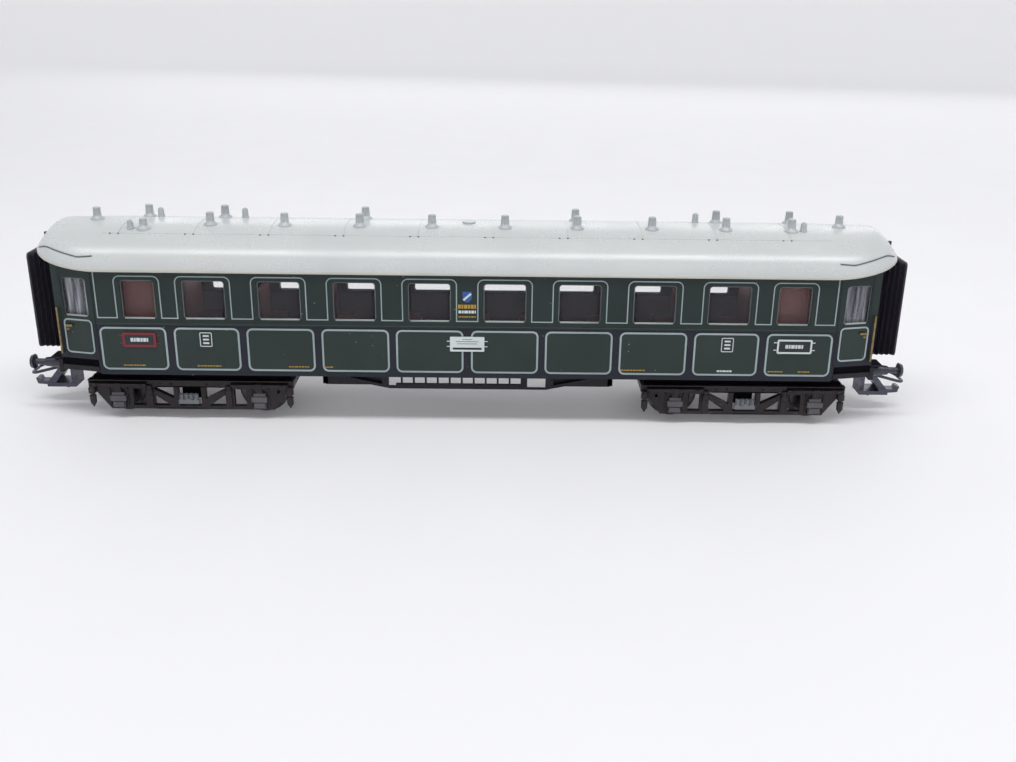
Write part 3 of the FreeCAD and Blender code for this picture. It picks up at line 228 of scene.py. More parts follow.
def ribbon(shape, side, path, width, low, high, closed=True):
    """Flat strip that follows a path on the wall, from low to high above its face."""
    rings = []
    count = len(path)
    for i, (x, z) in enumerate(path):
        before = path[i - 1] if i > 0 or closed else path[i]
        after = path[(i + 1) % count] if i < count - 1 or closed else path[i]
        ways = []
        for (xa, za), (xb, zb) in ((before, (x, z)), ((x, z), after)):
            length = math.hypot(xb - xa, zb - za)
            if length > 1e-6:
                ways.append(((za - zb) / length, (xb - xa) / length))
        nx = sum(w[0] for w in ways)
        nz = sum(w[1] for w in ways)
        size = math.hypot(nx, nz)
        nx, nz = nx / size, nz / size
        stretch = width / 2 / max(0.5, nx * ways[0][0] + nz * ways[0][1])
        inner = (x - nx * stretch, z - nz * stretch)
        outer = (x + nx * stretch, z + nz * stretch)
        rings.append([on_wall(side, *inner, low), on_wall(side, *inner, high),
                      on_wall(side, *outer, high), on_wall(side, *outer, low)])
    shape.loft(rings, caps=not closed, round_trip=closed)


def plate(shape, side, outline, low, high):
    """Thin sheet of any outline on the wall."""
    shape.loft([[on_wall(side, x, z, proud) for x, z in outline] for proud in (low, high)])


def window_places(side_label):
    """Middle, width and lower edge of each window of one side, without the doors'."""
    places = []
    for end in (-1, 1):
        for i in range(4):
            middle = end * (WINDOW_FIRST + i * WINDOW_STEP)
            places.append((middle, WINDOW_WIDTH[side_label], WINDOW_FOOT[side_label]))
        places.append((end * CLOSET_PLACE, CLOSET_WIDTH, WINDOW_LOW))
    return sorted(places)


def clusters(node, gap=0.8):
    """Boxes of the separate parts of a CAD node, told apart by gaps along the coach."""
    points = sorted(tuple(c / MM for c in v.co) for v in frame["nodes"][node].data.vertices)
    groups = [[points[0]]]
    for point in points[1:]:
        if point[0] - groups[-1][-1][0] > gap:
            groups.append([])
        groups[-1].append(point)
    return [([min(p[k] for p in g) for k in range(3)], [max(p[k] for p in g) for k in range(3)])
            for g in groups]


# ---------------------------------------------------------------- finishes


def linear(red, green, blue):
    """Scene colour of a screen colour given as 0 to 255."""
    values = []
    for part in (red, green, blue):
        share = part / 255
        values.append(share / 12.92 if share <= 0.04045 else ((share + 0.055) / 1.055) ** 2.4)
    return (*values, 1.0)


class Paint:
    """One node material."""

    def __init__(self, name, **values):
        self.material = bpy.data.materials.new(name)
        self.material.use_nodes = True
        self.tree = self.material.node_tree
        self.shader = self.tree.nodes["Principled BSDF"]
        for socket, value in values.items():
            self.shader.inputs[socket.replace("_", " ")].default_value = value
        self.place = self.node("ShaderNodeTexCoord").outputs["Object"]

    def node(self, kind, **settings):
        made = self.tree.nodes.new(kind)
        for key, value in settings.items():
            setattr(made, key, value)
        return made

    def feed(self, socket, source):
        if hasattr(source, "is_output"):
            self.tree.links.new(source, socket)
        else:
            socket.default_value = source

    def noise(self, scale, detail=3.0, stretch=None):
        """Noise by place; scale is features to the metre."""
        made = self.node("ShaderNodeTexNoise")
        made.inputs["Scale"].default_value = scale
        made.inputs["Detail"].default_value = detail
        source = self.place
        if stretch:
            mapping = self.node("ShaderNodeMapping")
            mapping.inputs["Scale"].default_value = stretch
            self.feed(mapping.inputs["Vector"], self.place)
            source = mapping.outputs["Vector"]
        self.feed(made.inputs["Vector"], source)
        return made.outputs["Fac"]

    def range(self, source, low, high, to_low=0.0, to_high=1.0):
        made = self.node("ShaderNodeMapRange")
        self.feed(made.inputs["Value"], source)
        for key, value in (("From Min", low), ("From Max", high), ("To Min", to_low), ("To Max", to_high)):
            made.inputs[key].default_value = value
        return made.outputs["Result"]

    def math(self, operation, a, b=0.0):
        made = self.node("ShaderNodeMath", operation=operation)
        self.feed(made.inputs[0], a)
        self.feed(made.inputs[1], b)
        return made.outputs[0]

    def mix(self, share, a, b):
        made = self.node("ShaderNodeMix", data_type="RGBA")
        self.feed(made.inputs["Factor"], share)
        self.feed(made.inputs["A"], a)
        self.feed(made.inputs["B"], b)
        return made.outputs["Result"]

    def height(self):
        """Height above the floor in millimetres."""
        made = self.node("ShaderNodeSeparateXYZ")
        self.feed(made.inputs[0], self.place)
        return self.math("MULTIPLY", made.outputs["Z"], 1 / MM)

    def bump(self, source, depth):
        """Relief of a depth in millimetres."""
        made = self.node("ShaderNodeBump")
        made.inputs["Distance"].default_value = depth * MM
        self.feed(made.inputs["Height"], source)
        self.feed(self.shader.inputs["Normal"], made.outputs["Normal"])


def specks(paint, scale, share, size):
    """Sparse round specks of dust."""
    cells = paint.node("ShaderNodeTexVoronoi")
    cells.inputs["Scale"].default_value = scale
    paint.feed(cells.inputs["Vector"], paint.place)
    parts = paint.node("ShaderNodeSeparateColor")
    paint.feed(parts.inputs[0], cells.outputs["Color"])
    chosen = paint.math("LESS_THAN", parts.outputs[0], share)
    near = paint.math("LESS_THAN", cells.outputs["Distance"], size)
    return paint.math("MULTIPLY", chosen, near)


def moulded(name, colour, shade, roughness, grain=0.02, dust=0.0, dust_colour=(0.3, 0.3, 0.29, 1), **values):
    """Painted or moulded plastic: uneven tone, fine grain, a little dust."""
    paint = Paint(name, **values)
    cloud = paint.range(paint.noise(55, 4), 0.3, 0.7)
    tone = paint.mix(cloud, colour, shade)
    if dust:
        tone = paint.mix(paint.math("MULTIPLY", specks(paint, 700, dust, 0.10), 0.45), tone, dust_colour)
    paint.feed(paint.shader.inputs["Base Color"], tone)
    fine = paint.noise(2600, 2)
    patches = paint.math("ADD", paint.math("MULTIPLY", fine, 0.5), paint.math("MULTIPLY", cloud, 0.5))
    paint.feed(paint.shader.inputs["Roughness"],
               paint.range(patches, 0.2, 0.8, roughness - 0.06, roughness + 0.08))
    paint.bump(fine, grain)
    return paint.material


def body_finish():
    """Dark green above the belt, blue-black below it, where the panels leave strips between them."""
    paint = Paint("body_green_paint", Specular_IOR_Level=0.3)
    cloud = paint.range(paint.noise(40, 4), 0.3, 0.7)
    upper = paint.mix(cloud, linear(36, 48, 46), linear(31, 42, 40))
    lower = paint.mix(cloud, linear(33, 36, 46), linear(28, 31, 41))
    tone = paint.mix(paint.range(paint.height(), BELT_LOW, BELT_LOW + 0.3), lower, upper)
    dust = paint.math("MULTIPLY", specks(paint, 620, 0.12, 0.09), 0.4)
    paint.feed(paint.shader.inputs["Base Color"], paint.mix(dust, tone, linear(190, 200, 195)))
    fine = paint.noise(2200, 2)
    paint.feed(paint.shader.inputs["Roughness"], paint.range(fine, 0.2, 0.8, 0.38, 0.50))
    paint.bump(fine, 0.02)
    return paint.material


def metal(name, colour, shade, roughness, scratch=(40, 900, 900)):
    """Bare or plated metal with fine drawn lines."""
    paint = Paint(name, Metallic=1.0)
    lines = paint.noise(1.0, 3, scratch)
    paint.feed(paint.shader.inputs["Base Color"], paint.mix(paint.range(lines, 0.3, 0.7), colour, shade))
    paint.feed(paint.shader.inputs["Roughness"],
               paint.range(lines, 0.3, 0.7, roughness - 0.06, roughness + 0.08))
    paint.bump(lines, 0.008)
    return paint.material


def clear_finish():
    """Clear moulded plastic: mostly seen through, with a soft gloss and faint ripples."""
    paint = Paint("clear_moulding", Alpha=0.06)
    ripple = paint.noise(420, 2)
    tone = paint.mix(ripple, linear(150, 146, 154), linear(176, 174, 180))
    paint.feed(paint.shader.inputs["Base Color"], tone)
    paint.feed(paint.shader.inputs["Roughness"], paint.range(ripple, 0.3, 0.7, 0.05, 0.12))
    return paint.material


def door_pane_painted_light_finish():
    """Door pane: clear plastic with upright pale streaks of painted light."""
    paint = Paint("door_pane_painted_light")
    # Pale, less clear streaks: painted light on the pane.
    streak = paint.range(paint.noise(1.0, 2, (800, 800, 60)), 0.40, 0.72)
    tone = paint.mix(streak, linear(92, 90, 102), linear(214, 218, 226))
    paint.feed(paint.shader.inputs["Base Color"], tone)
    paint.feed(paint.shader.inputs["Alpha"], paint.range(streak, 0.0, 1.0, 0.35, 0.85))
    paint.feed(paint.shader.inputs["Roughness"], paint.range(streak, 0.0, 1.0, 0.08, 0.25))
    return paint.material


FINISH = {
    "body_green": body_finish(),
    "roof_grey": moulded("roof_plastic", linear(204, 208, 207), linear(196, 200, 200), 0.27, grain=0.003,
                         Specular_IOR_Level=0.6),
    "clear_pane": clear_finish(),
    "interior_brown": moulded("interior_plastic", linear(132, 68, 56), linear(102, 52, 46), 0.5),
    "weight_steel": metal("weight_steel_plate", linear(120, 122, 124), linear(98, 100, 102), 0.4),
    "chassis_black": moulded("chassis_plastic", linear(30, 30, 38), linear(23, 23, 30), 0.38, dust=0.04,
                              Specular_IOR_Level=0.3),
    "bogie_black": moulded("bogie_plastic", linear(48, 41, 44), linear(36, 31, 34), 0.34, dust=0.06,
                            Specular_IOR_Level=0.3),
    "axlebox_grey": moulded("axlebox_plastic", linear(92, 90, 94), linear(76, 74, 78), 0.42, dust=0.04),
    "spring_grey": moulded("spring_plastic", linear(118, 122, 126), linear(98, 102, 107), 0.4),
    "buffer_black": moulded("buffer_enamel", linear(44, 46, 62), linear(34, 35, 48), 0.28, Coat_Weight=0.3),
    "bellows_black": moulded("bellows_rubber", linear(40, 36, 48), linear(30, 27, 36), 0.36),
    "brass_trim": metal("brass_wire", linear(152, 136, 96), linear(118, 104, 70), 0.36),
    "wheel_steel": metal("wheel_plating", linear(92, 90, 92), linear(64, 62, 66), 0.36),
    "coupler_metal": metal("coupler_plating", linear(92, 92, 104), linear(66, 66, 78), 0.30),
}

PANEL_GREEN = moulded("panel_green_paint", linear(43, 55, 52), linear(37, 48, 45), 0.42, grain=0.015,
                      dust=0.10, dust_colour=linear(190, 200, 195), Specular_IOR_Level=0.3)
LINE_PAINT = moulded("line_paint", linear(164, 178, 180), linear(138, 154, 156), 0.5)
DARK_PAINT = moulded("plate_dark_paint", linear(30, 33, 42), linear(24, 26, 34), 0.4)
RED_PAINT = moulded("plate_red_paint", linear(122, 34, 44), linear(102, 28, 38), 0.4)
WHITE_PAINT = moulded("plate_white_paint", linear(214, 222, 222), linear(196, 206, 206), 0.45)
YELLOW_PAINT = moulded("mark_yellow_paint", linear(190, 152, 48), linear(150, 118, 36), 0.5)
BLUE_PAINT = moulded("mark_blue_paint", linear(40, 92, 168), linear(30, 76, 148), 0.4)
GUTTER_PAINT = moulded("gutter_paint", linear(206, 206, 196), linear(190, 190, 182), 0.45)
DOT_PAINT = moulded("roof_pin_paint", linear(104, 108, 112), linear(84, 88, 92), 0.5)
# The silver-grey of the clear mouldings' edges is a painted reflection; the lighter sill colour is a painted
# highlight.
EDGE_GLINT_PAINT = moulded("window_edge_painted_reflection", linear(116, 124, 126), linear(84, 92, 94), 0.25)
SILL_HIGHLIGHT_PAINT = moulded("window_sill_painted_highlight", linear(176, 184, 184), linear(140, 150, 150), 0.22)
VENT_PLASTIC = moulded("ventilator_plastic", linear(188, 193, 194), linear(172, 178, 181), 0.30)
# Near-black with almost no gloss: painted shade, used for the dark strips on the bogies and the backs of the
# step recesses.
SHADE_BLACK = moulded("painted_shade_black", linear(14, 14, 18), linear(9, 9, 12), 0.8, Specular_IOR_Level=0.06)
LINER_PLASTIC = moulded("liner_plastic", linear(66, 48, 56), linear(48, 36, 43), 0.5)


def finish_cad_nodes():
    """Give every CAD node the finish of its material slot, apart from two with their own."""
    special = {"door_panes": door_pane_painted_light_finish(), "roof_cap": VENT_PLASTIC}
    for part in frame["record"]["subparts"]:
        node = frame["nodes"][part["node"]]
        node.data.materials.clear()
        node.data.materials.append(special.get(part["node"], FINISH[part["material_slot"]]))


# ---------------------------------------------------------------- roof


def roof_half_width(x):
    """Outline of the roof from above."""
    share = max(0.0, (abs(x) - RIM_START) / (ROOF_TIP - RIM_START))
    return ROOF_HALF_WIDTH * max(0.0, 1 - share ** 2.1) ** (1 / 2.1)


def roof_rim(x):
    """Height of the gutter, which rises to the tips."""
    share = max(0.0, (abs(x) - RIM_START) / (ROOF_TIP - RIM_START))
    return EAVES + RIM_RISE * share ** 1.6


def roof_ridge(x):
    """Height of the ridge, which falls at the hoods."""
    share = max(0.0, (abs(x) - HOOD_START) / (ROOF_TIP - HOOD_START))
    return HOOD_LIP + (ROOF_TOP - HOOD_LIP) * max(0.0, 1 - share ** 1.15) ** (1 / 1.15)


def roof_height(x, y):
    """Height of the roof's skin at a place seen from above."""
    half = roof_half_width(x)
    share = min(1.0, abs(y) / half) if half > 0 else 0.0
    rim = roof_rim(x)
    return rim + (roof_ridge(x) - rim) * math.sqrt(1 - share ** 2.4)


def roof_stations():
    """Places along the roof, closer together at the hoods."""
    hood = [RIM_START + (ROOF_TIP - RIM_START) * math.sin(a) for a in spread(0, math.pi / 2, 34)]
    straight = spread(-RIM_START, RIM_START, 40)
    return [-x for x in reversed(hood)] + straight[1:-1] + hood


def make_roof():
    """Smooth skin of the roof, in place of the CAD one."""
    shape = Shape()
    across = [math.sin(a) for a in spread(-math.pi / 2, math.pi / 2, 49)]
    stations = roof_stations()
    points = []
    for x in stations:
        half = roof_half_width(x)
        points += [(x, half * s, roof_height(x, half * s)) for s in across]
    count = len(across)
    faces = []
    for i in range(len(stations) - 1):
        for j in range(count - 1):
            a = i * count + j
            faces.append([a, a + 1, a + count + 1, a + count])
    shape.add(points, faces)
    roof = shape.piece("roof_cover", "roof_grey")
    skin = roof.modifiers.new("skin", "SOLIDIFY")
    skin.thickness = 0.9 * MM
    skin.offset = -1
    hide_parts("roof")


def make_gutter():
    """Rolled edge round the foot of the roof."""
    stations = roof_stations()
    profile = ((0.0, 0.75), (0.10, 0.45), (0.10, 0.1), (0.0, -0.15), (-0.5, -0.2), (-0.9, 0.1),
               (-0.7, 0.6))
    step = 0.05
    rings = []
    for side in (-1, 1):
        for x in stations if side < 0 else list(reversed(stations))[1:-1]:
            half = roof_half_width(x)
            slope = (roof_half_width(abs(x) + step) - roof_half_width(max(0, abs(x) - step))) / (2 * step)
            flat = abs(x) >= ROOF_TIP - 0.01
            normal = Vector((0.0 if not flat else math.copysign(1, x), 0.0 if flat else side, 0.0))
            if not flat and abs(x) > RIM_START:
                normal = Vector((math.copysign(-slope, x), side, 0)).normalized()
            foot = Vector((x, side * half, roof_rim(x)))
            rings.append([foot + normal * (out - 0.08) + Vector((0, 0, up)) for out, up in profile])
    shape = Shape()
    shape.loft(rings, round_trip=True)
    shape.piece("roof_gutter", "roof_grey", finish=GUTTER_PAINT)


def make_roof_sheets():
    """Thin sheets along the crown, with open gaps between them, and pins at each joint."""
    seams = [SEAM_FIRST + SEAM_STEP * k for k in range(-5, 5)]
    edges = [-RIM_START] + seams + [RIM_START]
    joint = 0.09
    lift = 0.10
    pin_step = 2.1
    shape = Shape()
    for start, end in zip(edges, edges[1:]):
        rings = []
        for x in spread(start + joint, end - joint, 5):
            top = [(x, y, roof_height(x, y) + lift) for y in spread(-SEAM_OUT, SEAM_OUT, 31)]
            under = [(x, y, z - 2.5 * lift) for _, y, z in reversed(top)]
            rings.append(top + under)
        shape.loft(rings)
    shape.piece("roof_sheets", "roof_grey")
    pins = Shape()
    for seam in seams:
        for x in (seam - pin_step, seam):
            for side in (-1, 1):
                y = side * (SEAM_OUT + 0.1)
                z = roof_height(x, y)
                head = ((0.24, z - 0.2, False), (0.24, z + 0.12, False), (0.14, z + 0.22, False))
                pins.turned((x, y), head, sides=12)
    pins.piece("roof_pins", "roof_grey", finish=DOT_PAINT)


def make_rain_strips():
    """Thin bars over the entrances that turn the rain aside."""
    share = 0.92
    for label, end in ENDS:
        shape = Shape()
        for side in (-1, 1):
            path = []
            for x in spread(93.4, 109.2, 22):
                drop = 0.032 * max(0.0, 1 - abs(x - 97.2) / 8)
                y = side * (share + drop) * roof_half_width(x)
                path.append((end * x, y * 1.003, roof_height(x, y) + 0.05))
            shape.tube(path, 0.17, sides=8)
        shape.piece(f"rain_strip_{label}", "roof_grey", finish=DOT_PAINT)


def make_ventilators():
    """Fluted ventilators in place of the plain ones."""
    for node in ("roof_vents_near", "roof_vents_far", "roof_vents_end", "roof_vents_small"):
        small = node.endswith("small")
        shape = Shape()
        for low, high in clusters(node):
            x = (low[0] + high[0]) / 2
            y = (low[1] + high[1]) / 2
            top = high[2]
            base = roof_height(x, y)
            if small:
                r = (high[0] - low[0]) / 2
                profile = ((r * 1.25, base - 0.6, False), (r * 1.25, base + 0.4, False),
                           (r, base + 0.6, True), (r * 0.94, top - 0.55, True),
                           (r * 0.7, top - 0.15, False), (r * 0.3, top, False))
            else:
                profile = ((1.75, base - 0.9, False), (1.75, base + 0.22, False), (1.6, base + 0.42, False),
                           (1.22, base + 0.7, False), (1.04, base + 1.05, False), (0.98, base + 1.2, True),
                           (0.88, top - 0.5, True), (0.98, top - 0.42, False), (0.94, top - 0.1, False),
                           (0.55, top, False))
            shape.turned((x, y), profile, sides=48, flutes=8, depth=0.13)
        row = shape.piece(f"{node}_fluted", "roof_grey", finish=VENT_PLASTIC)
        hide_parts(node)


# ---------------------------------------------------------------- body sides


def make_panels(label, side):
    """Painted fields of the side wall and the pale lines round them."""
    fields = Shape()
    lines = Shape()
    for end in (-1, 1):
        for start, stop in PANELS:
            x0, x1 = sorted((end * start, end * stop))
            outline = rounded(x0, x1, PANEL_LOW, PANEL_HIGH, PANEL_CORNER)
            plate(fields, side, outline, -0.2, PAINT_THICK)
            ribbon(lines, side, outline, LINE_WIDE, -0.1, 2 * PAINT_THICK)
        start, stop, low, high = DOOR_PANEL
        x0, x1 = sorted((end * start, end * stop))
        outline = rounded(x0, x1, low, high, 1.0)
        plate(fields, side, outline, -0.2, PAINT_THICK)
        ribbon(lines, side, outline, LINE_WIDE * 0.85, -0.1, 2 * PAINT_THICK)
    fields.piece(f"panel_fields_{label}", "body_green", finish=PANEL_GREEN)
    lines.piece(f"panel_lines_{label}", "body_green", finish=LINE_PAINT)


def make_meander(label, side):
    """The thin line that runs over each window and under each pillar."""
    path = [(-MEANDER_END, EAVES + 0.3), (-MEANDER_END, MEANDER_LOW)]
    radius = 1.5
    for middle, width, _ in window_places(label):
        half = width / 2 + (1.4 if width > CLOSET_WIDTH else 1.35)
        path.append((middle - half, MEANDER_LOW))
        for centre, start in ((middle - half + radius, 180), (middle + half - radius, 90)):
            for a in spread(start, start - 90, 7):
                turn = math.radians(a)
                z = MEANDER_HIGH - radius + radius * math.sin(turn)
                path.append((centre + radius * math.cos(turn), z))
        path.append((middle + half, MEANDER_LOW))
    path += [(MEANDER_END, MEANDER_LOW), (MEANDER_END, EAVES + 0.3)]
    shape = Shape()
    ribbon(shape, side, path, LINE_THIN, -0.1, 1.6 * PAINT_THICK, closed=False)
    shape.piece(f"window_line_{label}", "body_green", finish=LINE_PAINT)


def make_belt(label, side):
    """Half-round moulding under the windows, and thin upright beads beside each door."""
    shape = Shape()
    middle = (BELT_LOW + BELT_HIGH) / 2 - (0.3 if side > 0 else 0.0)
    reach = (BELT_HIGH - BELT_LOW) / 2
    rings = []
    for x in spread(-PORCH_START + 0.4, PORCH_START - 0.4, 3):
        ring = [on_wall(side, x, middle + reach * math.cos(a), -0.3 + 0.55 * math.sin(a))
                for a in spread(0, math.pi, 9)]
        rings.append(ring)
    shape.loft(rings)
    for end in (-1, 1):
        for x in (94.9, 103.6):
            rings = [[on_wall(side, end * (x + dx), z, proud) for dx, proud in
                      ((-0.16, -0.2), (-0.16, 0.09), (0.16, 0.09), (0.16, -0.2))] for z in (17.2, 41.2)]
            shape.loft(rings)
    shape.piece(f"belt_{label}", "body_green")


def make_window_edge_glints(label, side):
    """Thin edges of the clear mouldings inside each opening, silver-grey as a painted reflection, with a
    lighter sill along each foot as a painted highlight.
    """
    edges = Shape()
    sills = Shape()
    doors = [(end * DOOR_PLACE, DOOR_WIDTH, WINDOW_LOW) for end in (-1, 1)]
    for middle, width, foot in window_places(label) + doors:
        half = width / 2 - 0.16
        outline = rounded(middle - half, middle + half, foot + 0.16, WINDOW_HIGH - 0.16, 0.75)
        ribbon(edges, side, outline, 0.24, -0.7, -0.38)
        sill = [(middle - half + 0.4, foot + 0.2), (middle + half - 0.4, foot + 0.2)]
        ribbon(sills, side, sill, 0.34, -0.6, -0.16, closed=False)
    edges.piece(f"window_edge_glints_{label}", "clear_pane", finish=EDGE_GLINT_PAINT)
    sills.piece(f"window_sill_highlights_{label}", "clear_pane", finish=SILL_HIGHLIGHT_PAINT)


def dashes(shape, side, start, stop, z, width, low=-0.05, high=2 * PAINT_THICK):
    """Row of short painted dashes, in place of print."""
    lengths = (0.7, 0.45, 0.9, 0.55)
    gap = 0.16
    x = start
    count = 0
    while x < stop:
        end = min(stop, x + lengths[count % len(lengths)])
        if end - x > gap:
            ribbon(shape, side, [(x, z), (end, z)], width, low, high, closed=False)
        x = end + gap
        count += 1


def framed_plate(label, side, name, middle, low, high, half, border, paint, clip):
    """Enamel plate with a border and clips, and bars or dashes where the real one has words."""
    inner = Shape()
    plate(inner, side, rounded(middle - half, middle + half, low, high, 0.25, 3), 0.0, 0.28)
    inner.piece(f"{name}_field_{label}", "body_green", finish=DARK_PAINT)
    edge = Shape()
    bar = Shape()
    ring = rounded(middle - half + border / 2, middle + half - border / 2,
                   low + border / 2, high - border / 2, 0.2, 3)
    ribbon(edge, side, ring, border, 0.2, 0.38)
    z = (low + high) / 2
    if clip:
        for way in (-1, 1):
            x0, x1 = sorted((middle + way * half, middle + way * (half + clip)))
            for height in (low + 0.9, high - 0.9):
                ribbon(edge, side, [(x0, height), (x1, height)], 0.22, 0.0, 0.2, closed=False)
        dashes(bar, side, middle - half * 0.52, middle + half * 0.52, z, (high - low) * 0.25, 0.25, 0.33)
    else:
        for step in (-1, 0, 1):
            height = z + 0.95 * step
            ribbon(bar, side, [(middle - 0.75, height), (middle + 0.75, height)], 0.42, 0.25, 0.33,
                   closed=False)
    edge.piece(f"{name}_border_{label}", "body_green", finish=paint)
    bar.piece(f"{name}_bar_{label}", "body_green", finish=WHITE_PAINT)


def make_plates(label, side):
    """The framed plates and the route board, all without words."""
    framed_plate(label, side, "red_plate", -83.7, 20.9, 24.8, 4.3, 0.65, RED_PAINT, 0.8)
    framed_plate(label, side, "light_plate", 84.0, 20.9, 24.7, 4.5, 0.45, WHITE_PAINT, 0.8)
    for number, x in enumerate((-66.7, 66.7)):
        framed_plate(label, side, f"class_plate_{number}", x, 21.2, 25.0, 1.55, 0.18, WHITE_PAINT, 0)
    board = Shape()
    plate(board, side, rounded(-4.4, 4.4, 20.6, 24.5, 0.2, 3), 0.0, 0.34)
    for way in (-1, 1):
        for z in (21.9, 23.3):
            x0, x1 = sorted((way * 4.3, way * 5.2))
            ribbon(board, side, [(x0, z), (x1, z)], 0.18, 0.0, 0.2, closed=False)
    board.piece(f"route_board_{label}", "body_green", finish=WHITE_PAINT)
    rules = Shape()
    for z, half in ((23.9, 1.3), (23.3, 2.9), (22.7, 2.6)):
        ribbon(rules, side, [(-half, z), (half, z)], 0.12, 0.3, 0.37, closed=False)
    ribbon(rules, side, [(-3.7, 21.4), (3.7, 21.4)], 0.55, 0.3, 0.37, closed=False)
    rules.piece(f"route_board_rules_{label}", "body_green", finish=DARK_PAINT)


def make_marks(label, side):
    """A plain shield and bars where the real coach carries its markings."""
    shield = Shape()
    top = 36.4
    outline = [(-1.15, top), (1.15, top), (1.15, top - 1.3)]
    outline += [(1.15 * math.cos(a), top - 1.3 - 1.5 * math.sin(a)) for a in spread(0.25, math.pi - 0.25, 7)]
    outline += [(-1.15, top - 1.3)]
    plate(shield, side, outline, -0.1, PAINT_THICK)
    shield.piece(f"shield_{label}", "body_green", finish=BLUE_PAINT)
    band = Shape()
    ribbon(band, side, [(-0.95, top - 2.2), (0.95, top - 0.5)], 0.5, 0.0, 1.8 * PAINT_THICK, closed=False)
    band.piece(f"shield_band_{label}", "body_green", finish=WHITE_PAINT)
    yellow = Shape()
    white = Shape()
    dashes(yellow, side, -2.3, 2.3, 32.5, 1.0)
    dashes(yellow, side, -2.2, 2.2, 29.8, 0.3)
    dashes(white, side, -2.2, 2.2, 31.1, 0.7)
    for start, stop in ((-88.5, -82.8), (-69.5, -63.4), (-46.0, -40.8), (-37.0, -34.6), (39.6, 46.0),
                        (77.8, 81.6), (85.6, 88.6)):
        dashes(yellow, side, start, stop, 15.9, 0.28)
    dashes(white, side, 64.6, 68.4, 15.9, 0.45)
    yellow.piece(f"yellow_marks_{label}", "body_green", finish=YELLOW_PAINT)
    white.piece(f"white_marks_{label}", "body_green", finish=WHITE_PAINT)


# ---------------------------------------------------------------- bellows


def make_bellows():
    """Pleated gangway with stiff frames at both ends, round the open passage."""
    pleats = 6
    depth = 0.8
    for label, end in ENDS:
        node = f"bellows_{label}"
        low, high = box_mm(node)
        start = BODY_END - 0.1
        reach = max(abs(low[0]), abs(high[0]))
        half = (high[1] - low[1]) / 2

        def ring(x, shrink, passage):
            outer = rounded(-half + shrink, half - shrink, low[2], high[2] - shrink, 1.0, 5)
            inner = rounded(-4.2 - passage, 4.2 + passage, 18.4 - passage, 38.6 + passage, 0.9, 5)
            return ([(end * x, y, z) for y, z in outer], [(end * x, y, z) for y, z in inner])

        outside, inside = [], []
        stations = spread(start, reach - 0.5, 2 * pleats + 1)
        for i, x in enumerate(stations):
            out, into = ring(x, 0.0 if i % 2 == 0 else depth, 0.0 if i % 2 == 0 else 0.4)
            outside.append(out)
            inside.append(into)
        for x in (reach - 0.5, reach):
            out, into = ring(x, 0.0, -0.25)
            outside.append(out)
            inside.append(into)
        shape = Shape()
        shape.loft(outside, caps=False)
        shape.loft(inside, caps=False)
        for index in (0, -1):
            pair = outside[index] + inside[index]
            count = len(outside[index])
            faces = [[i, (i + 1) % count, count + (i + 1) % count, count + i] for i in range(count)]
            shape.add(pair, faces)
        folded = shape.piece(f"bellows_folds_{label}", "bellows_black")
        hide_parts(node)


# ---------------------------------------------------------------- bogies


def make_coils(label):
    """Wound springs and their cradle in the middle of each bogie side."""
    node = f"coil_springs_{label}"
    low, high = box_mm(node)
    middle = (low[0] + high[0]) / 2
    turns = 4.5
    steps = 64
    spacing = 1.25
    radius = 0.5
    wires = Shape()
    cradle = Shape()
    for side in (-1, 1):
        y = side * (high[1] - 0.75)
        for k in (-1.5, -0.5, 0.5, 1.5):
            x = middle + k * spacing
            path = []
            for step in range(steps):
                share = step / (steps - 1)
                a = 2 * math.pi * turns * share
                path.append((x + radius * math.cos(a), y + radius * math.sin(a), low[2] + 1.1 + share * 1.5))
            wires.tube(path, 0.17, sides=7)
            wires.turned((x, y), ((0.3, low[2] + 0.5, False), (0.3, high[2] - 0.02, False)), sides=10)
        cradle.slab((middle - 2.7, y - 0.65, low[2]), (middle + 2.7, y + 0.65, low[2] + 1.1))
        for k in (-1, 0, 1):
            x = middle + k * 1.9
            cradle.slab((x - 0.35, y - 0.72, low[2]), (x + 0.35, y + 0.72, low[2] + 1.45))
    coils = wires.piece(f"wound_springs_{label}", "spring_grey", body=f"bogie_{label}")
    cradle.piece(f"spring_cradles_{label}", "spring_grey", body=f"bogie_{label}", soft=0.12)
    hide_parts(node)


